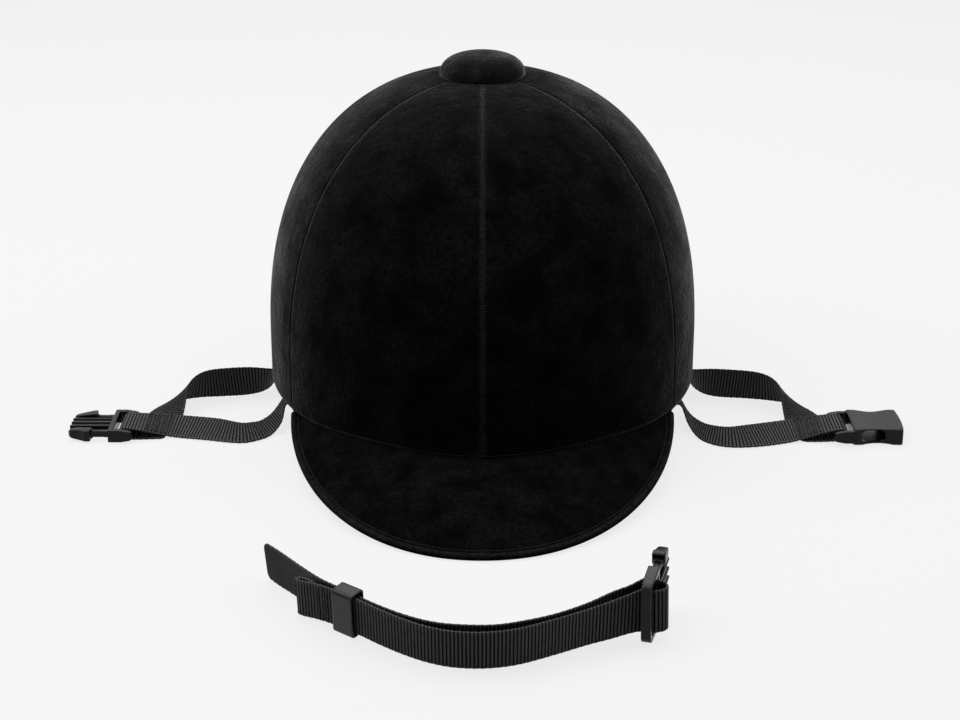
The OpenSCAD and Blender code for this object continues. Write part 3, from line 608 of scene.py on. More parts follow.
def leathercloth_material(name, value, grain):
    """Thin coated cloth: a fine pebble grain with a dull shine."""
    made, tree = new_material(name)
    cells = add_node(tree, "ShaderNodeTexVoronoi", {
        "Vector": object_place(tree), "Scale": 1 / grain}, feature="SMOOTH_F1")
    coat(tree, tone(tree, noise(tree, 40.0, 3.0), value * 0.8, value * 1.25),
         cells.outputs["Distance"], 0.35, 0.3 * MM, {"Roughness": 0.55})
    return made


def make_piping():
    """The piping: a round roll of velvet, paler along its upper ridge: wear, and a painted
    highlight where the light from above falls.
    """
    u = across_peak(PIPING_COLUMNS)
    place, height = edge_place(u)
    g = np.radians(np.arange(PIPING_SIDES) * 360 / PIPING_SIDES)
    flat = PIPING_D / 2 * np.cos(g)[None, :, None] * edge_out(u)[:, None, :]
    upright = height[:, None] + PIPING_D / 2 * np.sin(g)[None]
    rings = np.concatenate([place[:, None, :] + flat, upright[..., None]], -1)
    piece = new_piece("peak_piping_roll", tube_skin(rings), PEAK_VELVET)
    # Paler pile on the upper outer ridge: wear, and a painted highlight.
    ridge = np.clip(np.sin(g + RIDGE_TURN), 0, 1) ** 2
    put_attribute(piece, "turned", np.tile(ridge, (len(u), 1)) * RIDGE_WEAR_HIGHLIGHT)
    fix(piece, "velvet", "peak_piping")


PEAK_VELVET = velvet_material("peak_velvet", deep=0.0004, pale=0.0045, sheen=0.05, patch=0.012)
PEAK_CLOTH = leathercloth_material("peak_leathercloth", 0.012, 1.1 * MM)
peak_layer("peak_cover", 0, TOP_T, PEAK_VELVET, "velvet", 0.9 * MM)
peak_layer("peak_core", TOP_T, TOP_T + CORE_T, PEAK_CLOTH, "shell", 0.1 * MM)
peak_layer("peak_lining", TOP_T + CORE_T, STACK_T, PEAK_CLOTH, "lining", 0.1 * MM)
make_piping()


# Button
# A wooden disc covered with the same velvet, its cloth gathered under the disc. A stud
# through the crown holds it, with a washer and a nut inside the shell.
BUTTON_R = 20.7 * MM
BUTTON_FOOT = 0.93 * BUTTON_R
BUTTON_Z = 164.1 * MM
BUTTON_TOP = 10.3 * MM
BUTTON_SEAT = -0.35 * MM
BUTTON_ROUND = 0.8
BUTTON_FULL = 0.9
BUTTON_TURNS = 120
# Paler pile round the button's widest line: wear, and painted sheen.
BUTTON_WEAR_SHEEN_H = 1.4 * MM
BUTTON_WEAR_SHEEN_R = 0.7 * BUTTON_R
BUTTON_WEAR_SHEEN = 0.25


def crown_height(r):
    """Height of the velvet at r from the crown's middle, along the helmet."""
    t = np.arccos(np.clip(r / FRONT, 0, 1) ** (PROFILE / 2))
    return WIDE_H + (CROWN - WIDE_H) * np.sin(t) ** (2 / PROFILE)


def make_button():
    """A turned outline: a foot on the velvet, the side out to the widest line, and the top."""
    foot_r = np.linspace(0.2, 1, 14) * BUTTON_FOOT
    foot_z = crown_height(foot_r) + BUTTON_SEAT
    side = np.radians(np.linspace(8, 90, 16))
    top = np.radians(np.linspace(6, 89.7, 40))
    r = np.concatenate([foot_r, BUTTON_FOOT + (BUTTON_R - BUTTON_FOOT) * np.sin(side),
                        BUTTON_R * np.cos(top) ** BUTTON_ROUND])
    z = np.concatenate([foot_z, BUTTON_Z - (BUTTON_Z - foot_z[-1]) * np.cos(side),
                        BUTTON_Z + BUTTON_TOP * np.sin(top) ** BUTTON_FULL])
    turns = np.linspace(0, 2 * np.pi, BUTTON_TURNS, endpoint=False)
    points, faces = tube_skin(np.stack(np.broadcast_arrays(
        r[:, None] * np.cos(turns), r[:, None] * np.sin(turns), z[:, None]), -1))
    piece = new_piece("top_button_velvet", (points, [f[::-1] for f in faces]), LIT_BUTTON_VELVET)
    # The paler band round the widest line: wear, and painted sheen.
    rim = np.exp(-((z - BUTTON_Z) / BUTTON_WEAR_SHEEN_H) ** 2) * (r > BUTTON_WEAR_SHEEN_R)
    put_attribute(piece, "turned", np.repeat(rim, BUTTON_TURNS) * BUTTON_WEAR_SHEEN)
    fix(piece, "velvet", "top_button")


# A paler copy of the dome's velvet, with more sheen: painted light on the button at the top of
# the crown.
LIT_BUTTON_VELVET = velvet_material("button_velvet_painted_light", deep=0.004, pale=0.014, sheen=0.45, patch=0.01)
make_button()


# Seam stitching
# Waxed polyester thread. The panels are overcast along the middle of the front and top
# stitched beside the other seams, and the peak's cover is stitched at its root and edge.
STITCH_PITCH = 2.1 * MM
STITCH_D = 0.36 * MM
SEAM_SIDE = 0.6 * MM
SEAM_SUNK = 0.08 * MM
SEAM_ROWS = np.linspace(1.5 * MM / PANEL_L, 0.985, 160)
SEAM_UNDER = 4
MIDDLE_SIDE = -0.15 * MM
MIDDLE_SUNK = 0.12 * MM
ROOT_CLEAR = 1.2
ROOT_SUNK = 0.05 * MM
ROOT_UP = 1.3 * MM
EDGE_SEWN = 0.983
EDGE_SUNK = 0.02 * MM


def stitch_tree():
    """Lays stitches along lines, each pointing the way that its place on the line says."""
    tree, given, out = new_tree("stitch_row", "GeometryNodeTree", (
        ("Geometry", "Geometry"), ("Pitch", "Float", STITCH_PITCH),
        ("Length", "Float", 1.7 * MM), ("Thickness", "Float", STITCH_D),
        ("Wobble", "Float", 0.08 * MM), ("Seed", "Int", 7), ("Material", "Material")),
        (("Geometry", "Geometry"),))
    line = add_node(tree, "GeometryNodeMeshToCurve", {"Mesh": given["Geometry"]})
    spots = add_node(tree, "GeometryNodeCurveToPoints", {
        "Curve": line, "Length": given["Pitch"]}, mode="LENGTH")
    way = add_node(tree, "GeometryNodeInputNamedAttribute", {"Name": "way"},
                   data_type="FLOAT_VECTOR")
    turn = add_node(tree, "FunctionNodeAlignRotationToVector", {"Vector": way}, axis="Z")
    shake = add_node(tree, "FunctionNodeRandomValue", {
        "Min": calculator(tree)("MULTIPLY", given["Wobble"], -1.0), "Max": given["Wobble"],
        "Seed": given["Seed"]}, data_type="FLOAT_VECTOR")
    moved = add_node(tree, "GeometryNodeSetPosition", {
        "Geometry": spots, "Offset": shake})
    size = add_node(tree, "ShaderNodeCombineXYZ", {
        "X": given["Thickness"], "Y": given["Thickness"], "Z": given["Length"]})
    bead = add_node(tree, "GeometryNodeMeshUVSphere", {"Segments": 8, "Rings": 5, "Radius": 0.5})
    smooth = add_node(tree, "GeometryNodeSetShadeSmooth", {"Geometry": bead})
    sewn = add_node(tree, "GeometryNodeInstanceOnPoints", {
        "Points": moved, "Instance": smooth, "Rotation": turn, "Scale": size})
    end_geometry(tree, sewn, given, out)
    return tree


def end_geometry(tree, made, given, out):
    """Ends a geometry tree with a plain mesh in the material that it was given."""
    real = add_node(tree, "GeometryNodeRealizeInstances", {"Geometry": made})
    dyed = add_node(tree, "GeometryNodeSetMaterial", {
        "Geometry": real, "Material": given["Material"]})
    tree.links.new(dyed.outputs[0], out["Geometry"])


def settle(piece, tree, **inputs):
    """Runs a geometry tree on a piece and keeps the plain mesh that it makes."""
    maker = piece.modifiers.new("maker", "NODES")
    maker.node_group = tree
    sockets = {s.name.lower(): s.identifier
               for s in tree.interface.items_tree if s.in_out == "INPUT"}
    for name, value in inputs.items():
        maker[sockets[name]] = value
    graph = bpy.context.evaluated_depsgraph_get()
    mesh = bpy.data.meshes.new_from_object(piece.evaluated_get(graph), depsgraph=graph,
                                           preserve_all_data_layers=True)
    piece.modifiers.remove(maker)
    piece.data = mesh


def thread_material(name, value):
    """Twisted thread: fine slanting plies with a soft shine."""
    made, tree = new_material(name)
    plies = noise(tree, 2400.0)
    coat(tree, tone(tree, plies, value * 0.4, value * 1.6), plies, 0.4, 0.1 * MM,
         {"Roughness": 0.5, "Specular IOR Level": 0.12})
    return made


def along_line(points):
    """The direction of a line at each of its points."""
    way = np.gradient(np.asarray(points, float), axis=0)
    return way / np.linalg.norm(way, axis=1, keepdims=True)


def make_stitches(name, lines, material, slot, body="helmet", across=None, **sizes):
    """Stitches of sizes in millimetres along lines, or turned to the direction across."""
    points = [tuple(p) for line in lines for p in line]
    ends = np.cumsum([len(line) for line in lines])
    mesh = bpy.data.meshes.new(name)
    mesh.from_pydata(points, [(i, i + 1) for i in range(len(points)) if i + 1 not in ends], [])
    way = mesh.attributes.new("way", "FLOAT_VECTOR", "POINT")
    ways = [along_line(line) if across is None else np.tile(across, (len(line), 1))
            for line in lines]
    way.data.foreach_set("vector", np.concatenate(ways).astype(np.float32).ravel())
    piece = add_object(name, mesh)
    settle(piece, STITCH, material=material, **{key: sizes[key] * MM for key in sizes})
    fix(piece, slot, body=body)


def seam_run(a, side, sunk):
    """A line up the dome beside the seam at angle a, side metres round from it."""
    t, z, _ = up_wall(a, cover_base(a), hole_angle(BUTTON_FOOT, 0) + SEAM_UNDER, SEAM_ROWS)
    r = np.hypot(*dome(a, t, 0)[:, :2].T)
    return on_wall(a + np.degrees(side / r), t, z, sunk)


def seam_stitches():
    """The overcast middle seam, the other seams, and the two rows along the peak's cover."""
    middle = seam_run(0, MIDDLE_SIDE, MIDDLE_SUNK)
    make_stitches("middle_seam_stitches", [middle], WORN_THREAD, "velvet",
                  across=(1.0, 0.0, 0.3), pitch=1.3, length=1.6, thickness=0.36, wobble=0.22)
    sides = [seam_run(a, SEAM_SIDE * (1 if a < 0 else -1), SEAM_SUNK)
             for a in (-PEAK_A, PEAK_A, -120, 120, 180)]
    make_stitches("panel_seam_stitches", sides, SEAM_THREAD, "velvet", length=2.15, wobble=0.05)
    root_a = np.linspace(ROOT_CLEAR - PEAK_A, PEAK_A - ROOT_CLEAR, 240)
    root = dome(root_a, 0, ROOT_SUNK)
    root[:, 2] = seam_height(root_a) + ROOT_UP
    edge = peak_point(np.linspace(-0.985, 0.985, 300), EDGE_SEWN, EDGE_SUNK)
    make_stitches("peak_seam_stitches", [root, edge], WORN_THREAD, "velvet", length=2,
                  wobble=0.05)


STITCH = stitch_tree()
SEAM_THREAD = thread_material("seam_thread", 0.055)
WORN_THREAD = thread_material("worn_seam_thread", 0.008)
seam_stitches()


# Shell, foam and rim binding
# The shell is moulded in hard plastic and the foam liner is fitted inside it. A folded strip
# of leathercloth is glued round the rim, over the shell's edge and the velvet's.
SHELL_T = 3 * MM
FOAM_T = 16 * MM
IN_SHELL = VELVET_T + SHELL_T
IN_FOAM = IN_SHELL + FOAM_T
GLUE_T = 0.02 * MM
SHELL_ROWS = np.concatenate([[0, 0.003, 0.008], np.linspace(0.02, 1, 64)])
BIND_H = 7 * MM
BIND_ROUND = 0.5 * BIND_T
BIND_FOLD = 0.15 * MM


def moulded_material(name, value, rough, grain):
    """Moulded plastic: faint mould grain, and slightly uneven gloss."""
    made, tree = new_material(name)
    fine = noise(tree, 1 / grain, 3.0, 0.55)
    broad = noise(tree, 60.0)
    gloss = spread(tree, broad, 0.3, 0.7, rough - 0.07, rough + 0.07)
    coat(tree, tone(tree, broad, value * 0.85, value * 1.15), fine, 0.25, 0.08 * MM,
         {"Roughness": gloss, "Specular IOR Level": 0.17})
    return made


def dress(node, material):
    """Gives a piece whose packed form is right its finish."""
    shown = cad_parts[node]
    shown.data.materials.clear()
    shown.data.materials.append(material)


def rim_base(a):
    """Height of the shell's lower edge at angle a, which is under the peak at the front."""
    return cover_base(a) - (STACK_T if over_peak(a) else 0)


def make_shell():
    """A smooth wall between the velvet and the foam, open under the button."""
    turns = np.unique(np.concatenate([np.linspace(-180, 180, 181)[:-1],
                                      [-PEAK_A - 0.02, -PEAK_A, PEAK_A, PEAK_A + 0.02]]))

    def face(depth):
        top = hole_angle(STUD_HOLE, depth)
        return np.array([on_wall(a, *up_wall(a, rim_base(a), top, SHELL_ROWS, depth)[:2], depth)
                         for a in turns])

    skin = thick_skin(face(VELVET_T + GLUE_T), face(IN_SHELL), ring=True)
    fix(new_piece("outer_shell_smooth", skin, SHELL_PLASTIC), "shell", "outer_shell")


def make_binding():
    """The folded strip: a smooth lip under the rim, and a leg up inside the shell."""
    rings = []
    for a in np.linspace(-180, 180, 241)[:-1]:
        z = rim_base(a)
        low = z - BIND_T
        top = z + BIND_H
        out, inn, leg = (dome(a, 0, depth)[:2] for depth in (
            VELVET_T if over_peak(a) else 0, IN_SHELL, IN_SHELL + BIND_T))
        rings.append([(*out, z), (*out, low + BIND_ROUND), (*(out + (inn - out) * 0.12), low),
                      (*(inn + (leg - inn) * 0.4), low), (*leg, low + BIND_ROUND),
                      (*leg, top - BIND_ROUND), (*(leg + (inn - leg) * 0.5), top),
                      (*inn, top - 0.2 * BIND_T), (*inn, z)])
    piece = new_piece("rim_binding_strip", tube_skin(np.array(rings), closed=True), BINDING)
    bevel = piece.modifiers.new("fold", "BEVEL")
    bevel.width = BIND_FOLD
    bevel.segments = 2
    bevel.limit_method = "ANGLE"
    fix(piece, "lining", "rim_binding")


SHELL_PLASTIC = moulded_material("shell_plastic", 0.012, 0.45, 0.6 * MM)
FOAM = moulded_material("foam_liner", 0.022, 0.9, 2.5 * MM)
BINDING = leathercloth_material("rim_binding_cloth", 0.009, 0.9 * MM)
make_shell()
dress("impact_liner", FOAM)
make_binding()


# Headband and crown pad
# A padded band of brushed cloth over soft foam is stuck round the inside of the liner. A
# round pad of the same cloth under the crown covers the stud and its nut.
HEADBAND_H = 38 * MM
HEADBAND_LOW = 3 * MM
HEADBAND_T = 6.5 * MM
BAND_LIFT = BIND_H + 1 * MM
BAND_GAP = 0.4 * MM
BAND_SEAMS = 20
BAND_COLUMNS = 288
CROWN_PAD_A = 26
CROWN_PAD_T = 5 * MM
PAD_EDGE_A = 3.5
PAD_LEAST = 0.1 * MM
PAD_GAP = 0.05 * MM


def brushed_material(name, value):
    """Brushed lining cloth: short soft fibres in a loose pattern."""
    made, tree = new_material(name)
    fibres = noise(tree, 1500.0, 4.0, 0.7)
    coat(tree, tone(tree, noise(tree, 90.0), value * 0.7, value * 1.3), fibres, 0.5,
         0.4 * MM, {"Roughness": 0.9, "Specular IOR Level": 0.1, "Sheen Weight": 0.15,
                    "Sheen Roughness": 0.5})
    return made


def wall_at(a, height, depth):
    """Points of the wall at angle a, at heights and depths."""
    up = np.clip((height - WIDE_H) / (CROWN - WIDE_H - depth), 0, 1) ** (PROFILE / 2)
    points = dome(a, np.degrees(np.arcsin(up)), depth)
    points[:, 2] = height
    return points


def make_headband():
    """A closed ring of padding, puffed towards the head and drawn in at upright seams."""
    rows = np.linspace(0, 1, 15)
    swell = np.sin(np.pi * (5 * rows + 0.35) / 5.7) * HEADBAND_T
    back = IN_FOAM + BAND_GAP
    rings = []
    for i in range(BAND_COLUMNS):
        a = -180 + 360 * i / BAND_COLUMNS
        seam = abs(math.sin(math.pi * BAND_SEAMS * i / BAND_COLUMNS))
        z = rim_base(a) + BAND_LIFT - HEADBAND_LOW + (HEADBAND_H + HEADBAND_LOW) * rows
        puff = swell * (0.72 + 0.28 * seam ** 0.4)
        rings.append(np.concatenate([wall_at(a, z, back),
                                     wall_at(a, z[::-1], back + puff[::-1])]))
    piece = new_piece("headband_padding", tube_skin(np.array(rings), closed=True), LINING)
    fix(piece, "lining", "headband")


def make_crown_pad():
    """A thick round pad with a domed edge."""
    turns = np.degrees(np.linspace(0, 2 * np.pi, 97)[:-1])
    t = np.linspace(90 - CROWN_PAD_A, hole_angle(STUD_HOLE, IN_FOAM), 26)[:, None]
    near = np.clip((t - t[0]) / PAD_EDGE_A, 0, 1)
    full = 0.5 + 0.5 * np.sqrt(1 - (1 - near) ** 2)
    under = dome(turns, t, IN_FOAM + PAD_LEAST + (CROWN_PAD_T - PAD_LEAST) * full)
    rings = np.concatenate([dome(turns, t, IN_FOAM + PAD_GAP)[::-1], under])
    piece = new_piece("crown_pad_padding", tube_skin(rings), LINING)
    fix(piece, "lining", "crown_pad")


LINING = brushed_material("brushed_lining", 0.016)
make_headband()
make_crown_pad()


# Stud, washer, nut and rivets
# Plated steel. The stud is screwed into the button and pulled tight by the nut. Each strap
# is held to the shell by one rivet with a wide flat head.


def plated_material(name, value, rough):
    """Dull plated steel with faint scratches."""
    made, tree = new_material(name)
    drawn = add_node(tree, "ShaderNodeMapping", {"Vector": object_place(tree),
                     "Scale": (1, 1, 14)})
    scratches = noise(tree, 300.0, 3.0, place=drawn)
    end_tree(tree, add_node(tree, "ShaderNodeBsdfPrincipled", {
        "Base Color": grey(value), "Metallic": 1.0,
        "Roughness": spread(tree, scratches, 0.0, 1.0, rough - 0.08, rough + 0.12)}))
    return made


STEEL = plated_material("plated_steel", 0.36, 0.35)
BLACK_STEEL = plated_material("blackened_steel", 0.05, 0.4)
for fixing in ("button_stud", "stud_washer", "stud_nut"):
    dress(fixing, STEEL)
dress("anchor_rivets", BLACK_STEEL)


# Straps
# Two lengths of black nylon webbing on each side, 20 mm wide. Each is riveted inside the
# shell, comes out under the rim and lies on the table. The front one goes round the bar of
# its buckle and back under itself, and the rear one is sewn between those two layers.
WEB_W = 20 * MM
WEB_T = 1.4 * MM
WEB_STEP = 0.3 * MM
CORNER = 2.2 * MM
CORNER_FULL = 0.97
RIB_PITCH = 1.5 * MM
RIB_H = 0.22 * MM
SELVEDGE = 0.12
BEAD_H = 0.1 * MM
SWING_H = 12 * MM
TAB_LIFTS = (26 * MM, 18 * MM, 9 * MM, 0)
TAB_IN = IN_SHELL + BIND_T + 0.8 * MM + WEB_T / 2
ANCHOR_Y = (-38 * MM, 9 * MM)
WRAP_R = 2.7 * MM
RETURN_L = 19 * MM
RETURN_Z = 0.8 * MM
PATCH_X = 157 * MM
PATCH_H = 4.5 * MM
PATCH_L = 10 * MM
PATCH_HALF = 8.4 * MM
COLUMN_PITCH = 2.4 * MM
SEWN_H = 0.12 * MM
PRESSED_R = (5.5 * MM, 7.5 * MM)
PRESSED = 0.32
BAR = {"right": Vector((-0.172, -0.057, 0.0035)), "left": Vector((0.172, -0.0605, 0.0043))}

# Where each strap's bend at the rim starts and ends, on the left side
BENDS = {"front": ((0.095, -0.037, 0.016), (0.101, -0.045, 0.008)),
         "rear": ((0.0985, 0.009, 0.014), (0.104, 0.007, 0.010))}

# Rows of x, y and lower edge in millimetres, and the direction of the strap's width
ROUTES = {
    "front_strap_right": [
        (-97.5, -40, 7, 0.14, -0.96, 0.2), (-100.5, -47, 2.5, 0.3, -0.94, 0.14),
        (-105, -53.5, 1, 0.34, -0.93, 0.03), (-110, -58.5, 0.9, 0.28, -0.96, -0.05),
        (-117, -61.8, 0.9, 0.1, -0.97, -0.1), (-131, -58.5, 0.9, -0.15, -0.98, -0.15),
        (-146, -55.2, 0.9, -0.1, -0.98, -0.15), (-156, -55.6, 2.7, 0, -0.99, -0.1),
        (-165, -57, 5.3, 0, -1, -0.03)],
    "front_strap_left": [
        (97.8, -40, 6.5, -0.05, -0.97, 0.2), (101, -48.5, 2.2, -0.12, -0.97, 0.14),
        (105.5, -56.5, 1, -0.2, -0.97, 0.03), (111, -63, 0.9, -0.2, -0.97, -0.05),
        (119, -67, 0.9, -0.08, -0.97, -0.1), (131, -66.2, 0.9, 0.15, -0.98, -0.15),
        (145, -61.8, 0.9, 0.12, -0.98, -0.15), (156, -60, 2.8, 0, -0.99, -0.1),
        (165, -60.5, 5.8, 0, -1, -0.03)],
    "rear_strap_right": [
        (-103, 2.5, 4.5, 0.2, -0.86, 0.42), (-108, -7, 0.8, 0.15, -0.62, 0.77),
        (-118, -12.5, 0.4, 0, -0.43, 0.9), (-132, -15, 0.4, 0, -0.42, 0.9),
        (-140.5, -17, 0.4, 0.14, -0.48, 0.87), (-147, -20.5, 0.4, 0.34, -0.54, 0.77),
        (-151.5, -25.5, 0.4, 0.58, -0.5, 0.62), (-154.3, -31.5, 0.5, 0.8, -0.38, 0.42),
        (-156, -38.5, 0.9, 0.92, -0.25, 0.2), (-157, -46, 2.1, 0.97, -0.15, 0),
        (-157.5, -54, 2.2, 0.98, -0.1, 0)],
    "rear_strap_left": [
        (102.5, 2.5, 4.5, -0.2, -0.86, 0.42), (107.5, -8, 0.8, -0.15, -0.62, 0.77),
        (117, -15, 0.4, 0, -0.43, 0.9), (133, -18, 0.4, 0, -0.43, 0.9),
        (142, -21, 0.4, -0.14, -0.48, 0.87), (148.5, -24.7, 0.4, -0.34, -0.54, 0.77),
        (152.7, -29.7, 0.4, -0.58, -0.5, 0.62), (155.2, -35.7, 0.5, -0.8, -0.38, 0.42),
        (156.8, -42.5, 0.9, -0.92, -0.25, 0.2), (157.6, -50, 2.1, -0.97, -0.15, 0),
        (158, -58, 2.2, -0.98, -0.1, 0)]}


def station(row):
    """Middle point and width direction of one row of a route."""
    x, y, low, ux, uy, uz = row
    return np.array([x * MM, y * MM, low * MM + WEB_W / 2 * abs(uz), ux, uy, uz])


def smooth_route(stations, steps=40):
    """Points along a smooth curve through stations of a point and a direction."""
    p = np.array(stations, float)
    p = np.concatenate([[2 * p[0] - p[1]], p, [2 * p[-1] - p[-2]]])
    f = np.arange(steps)[:, None] / steps
    rows = []
    for z, a, b, c in zip(p[:-3], p[1:-2], p[2:-1], p[3:]):
        rows.append(0.5 * (2 * a + (b - z) * f + (2 * z - 5 * a + 4 * b - c) * f ** 2
                           + (3 * a - z - 3 * b + c) * f ** 3))
    rows.append(p[-2:-1])
    return np.concatenate(rows)


def even_steps(route):
    """The same route with its points an even step apart, and the length up to each."""
    run = run_along(route[:, :3])
    there = np.linspace(0, run[-1], max(int(run[-1] / WEB_STEP), 2))
    return np.stack([np.interp(there, run, c) for c in route.T], 1), there


def strap_section():
    """Across the strap and through it: flat faces and two round edges."""
    flat = np.linspace(-1, 1, 27)[1:-1]
    edge = np.radians([60, 30, 0, -30, -60])
    tip = WEB_T / WEB_W
    side = 1 - tip + tip * np.cos(edge)
    return np.concatenate([
        np.stack([flat, np.ones(25)], 1), np.stack([side, np.sin(edge)], 1),
        np.stack([flat[::-1], -np.ones(25)], 1), np.stack([-side, -np.sin(edge)], 1)])


def wave(tree, value, turns, half=0.5, middle=0.5, ahead=0.0):
    """A wave along a value, so many turns to each 1 of it."""
    maths = calculator(tree)
    place = maths("MULTIPLY_ADD", value, 2 * math.pi * turns, ahead)
    return maths("MULTIPLY_ADD", maths("COSINE", place), half, middle)


def woven_tree():
    """Raises the cross ribs and the beaded selvedges of webbing from its smooth surface."""
    tree, given, out = new_tree("woven_ribs", "GeometryNodeTree", (
        ("Geometry", "Geometry"), ("Rib Pitch", "Float", RIB_PITCH),
        ("Rib Height", "Float", RIB_H), ("Selvedge", "Float", SELVEDGE),
        ("Bead Height", "Float", BEAD_H), ("Material", "Material")),
        (("Geometry", "Geometry"),))
    maths = calculator(tree)

    def named(name):
        return add_node(tree, "GeometryNodeInputNamedAttribute", {"Name": name},
                        data_type="FLOAT").outputs["Attribute"]

    turns = maths("DIVIDE", named("along"), given["Rib Pitch"])
    rib = maths("MULTIPLY", wave(tree, turns, 1), given["Rib Height"])
    flat_end = maths("SUBTRACT", 1.0, given["Selvedge"])
    inside = spread(tree, maths("ABSOLUTE", named("across")), maths("SUBTRACT", flat_end, 0.04),
                    flat_end, 1.0, 0.0)
    bead = maths("MULTIPLY", wave(tree, turns, 0.5, middle=0.6, ahead=0.8), given["Bead Height"])
    lift = maths("ADD", maths("MULTIPLY", rib, maths("MULTIPLY", inside, named("ribbed"))),
                 maths("MULTIPLY", bead, maths("SUBTRACT", 1.0, inside)))
    normal = add_node(tree, "GeometryNodeInputNormal")
    offset = add_node(tree, "ShaderNodeVectorMath", {0: normal, "Scale": lift},
                      operation="SCALE")
    moved = add_node(tree, "GeometryNodeSetPosition", {
        "Geometry": given["Geometry"], "Offset": offset})
    end_geometry(tree, moved, given, out)
    return tree


def webbing_material(name, shaded_groove, thread):
    """Woven nylon: painted shade between the ribs, painted light on them and on the selvedge
    beads, with fine yarns along the strap.
    """
    made, tree = new_material(name)
    maths = calculator(tree)
    along, across, ribbed = (
        add_node(tree, "ShaderNodeAttribute", attribute_name=label).outputs["Fac"]
        for label in ("along", "across", "ribbed"))
    turns = maths("DIVIDE", along, RIB_PITCH)
    rib = add_node(tree, "ShaderNodeMapRange", {
        "Value": wave(tree, turns, 1, half=1.0, middle=0.0), "From Min": -0.75,
        "From Max": 0.45}, interpolation_type="SMOOTHSTEP").outputs[0]
    yarns = wave(tree, across, 17)
    knit = maths("MULTIPLY", yarns, wave(tree, turns, 2))
    woven = maths("MULTIPLY", rib, maths("MULTIPLY_ADD", yarns, 0.45, 0.45))
    level = maths("ADD", maths("MULTIPLY", woven, ribbed),
                  maths("MULTIPLY", knit, maths("MULTIPLY_ADD", ribbed, -0.7, 0.7)))
    fuzz = noise(tree, 900.0, 3.0)
    edge = spread(tree, maths("ABSOLUTE", across), 0.88, 0.94)
    beads = wave(tree, turns, 1, half=0.35, middle=0.45, ahead=0.8)
    # Painted light on the ribs and beads, painted shade between them. The specular level follows
    # it, as painted shade in the grooves.
    lit = maths("MAXIMUM", maths("MULTIPLY", level, maths("MULTIPLY_ADD", fuzz, 1.2, 0.4)),
                maths("MULTIPLY", edge, beads))
    height = maths("ADD", maths("MULTIPLY", knit, 0.5), maths("MULTIPLY", fuzz, 0.4))
    coat(tree, tone(tree, lit, shaded_groove, thread), height, 0.5, 0.2 * MM, {
        "Roughness": 0.55, "Specular IOR Level": maths("MULTIPLY_ADD", lit, 0.3, 0.015)})
    return made


def make_strap(name, route, ribbed, material):
    """A woven strap along a route of points and width directions, with its end corners melted
    round. ribbed says how clearly its ribs stand at each point. Its middle line, and the
    directions across it and through it, come back with it."""
    rows, along = even_steps(route)
    middle, width = rows[:, :3], rows[:, 3:]
    width = width / np.linalg.norm(width, axis=1, keepdims=True)
    through = np.cross(along_line(middle), width)
    through /= np.linalg.norm(through, axis=1, keepdims=True)
    section = strap_section()
    in_corner = 1 - np.clip((along[-1] - along) / CORNER, 0, 1)
    half = WEB_W / 2 - CORNER * (1 - np.sqrt(1 - CORNER_FULL * in_corner ** 2))
    rings = (middle[:, None] + (half[:, None] * width)[:, None] * section[None, :, :1]
             + through[:, None] * section[None, :, 1:] * (WEB_T - RIB_H) / 2)
    piece = new_piece(name, tube_skin(rings), material)
    put_attribute(piece, "along", np.repeat(along, len(section)))
    put_attribute(piece, "across", np.tile(section[:, 0], len(rows)))
    put_attribute(piece, "ribbed", np.repeat(ribbed(middle), len(section)))
    settle(piece, WOVEN, material=material)
    return piece, (middle, width, through)


def cut_size(laid):
    """Width and length of a strap laid flat."""
    return WEB_W, round(float(run_along(laid[0])[-1]), 4)


def sewn_lines(laid, near, gap, half):
    """Lines of stitches on a strap round the place near: columns across it, and a row along
    each edge."""
    middle, width, through = laid
    at = int(np.argmin(np.linalg.norm(middle - np.array(near), axis=1)))
    reach = max(int(gap / 2 / np.linalg.norm(middle[at + 1] - middle[at])), 1)
    columns = np.linspace(at - reach, at + reach, int(gap / COLUMN_PITCH) + 1).astype(int)
    run = slice(at - reach, at + reach + 1)
    lines = []
    for face in (-1, 1):
        up = through * face * (WEB_T / 2 + SEWN_H)
        lines += [np.linspace(-half, half, 24)[:, None] * width[i] + middle[i] + up[i]
                  for i in columns]
        lines += [middle[run] + width[run] * edge + up[run] for edge in (-half, half)]
    return lines


def swing_point(side, end):
    """Where a strap crosses the level line on which its side swings."""
    length = (FRONT if ANCHOR_Y[end] < 0 else BACK) - IN_SHELL
    a = math.degrees(math.acos(share(-ANCHOR_Y[end] / length, PLAN / 2)))
    return dome(-a if side == "right" else a, 0, TAB_IN)[:2]


def tab_rows(side, end):
    """The riveted end of a strap, inside the shell and up to the swing line."""
    x, y = swing_point(side, end)
    way = swing_point(side, 1) - swing_point(side, 0)
    way /= np.linalg.norm(way)
    return [np.array([x, y, SWING_H + lift, -way[0], -way[1], 0]) for lift in TAB_LIFTS]


def wrap_rows(side, sign):
    """The front strap's way round the buckle's bar, and back under itself."""
    bar = BAR[side]
    turns = np.radians(np.linspace(90, -90, 13))
    places = [(bar.x + sign * WRAP_R * math.cos(g), bar.y, bar.z + WRAP_R * math.sin(g))
              for g in turns]
    for back, y, z in ((6 * MM, 0, (bar.z - WRAP_R + RETURN_Z) / 2),
                       (RETURN_L - 5 * MM, 0.5 * MM, RETURN_Z), (RETURN_L, 1 * MM, RETURN_Z)):
        places.append((bar.x - sign * back, bar.y + y, z))
    return [np.array([*place, 0, -1, 0]) for place in places]


def pressed(middle):
    """The ribs are pressed flat where the layers are sewn together, beside the buckle."""
    bar = BAR["right" if middle[0, 0] < 0 else "left"]
    away = np.hypot(np.abs(middle[:, 0]) - PATCH_X, middle[:, 1] - bar.y)
    return np.interp(away, PRESSED_R, [PRESSED, 1])


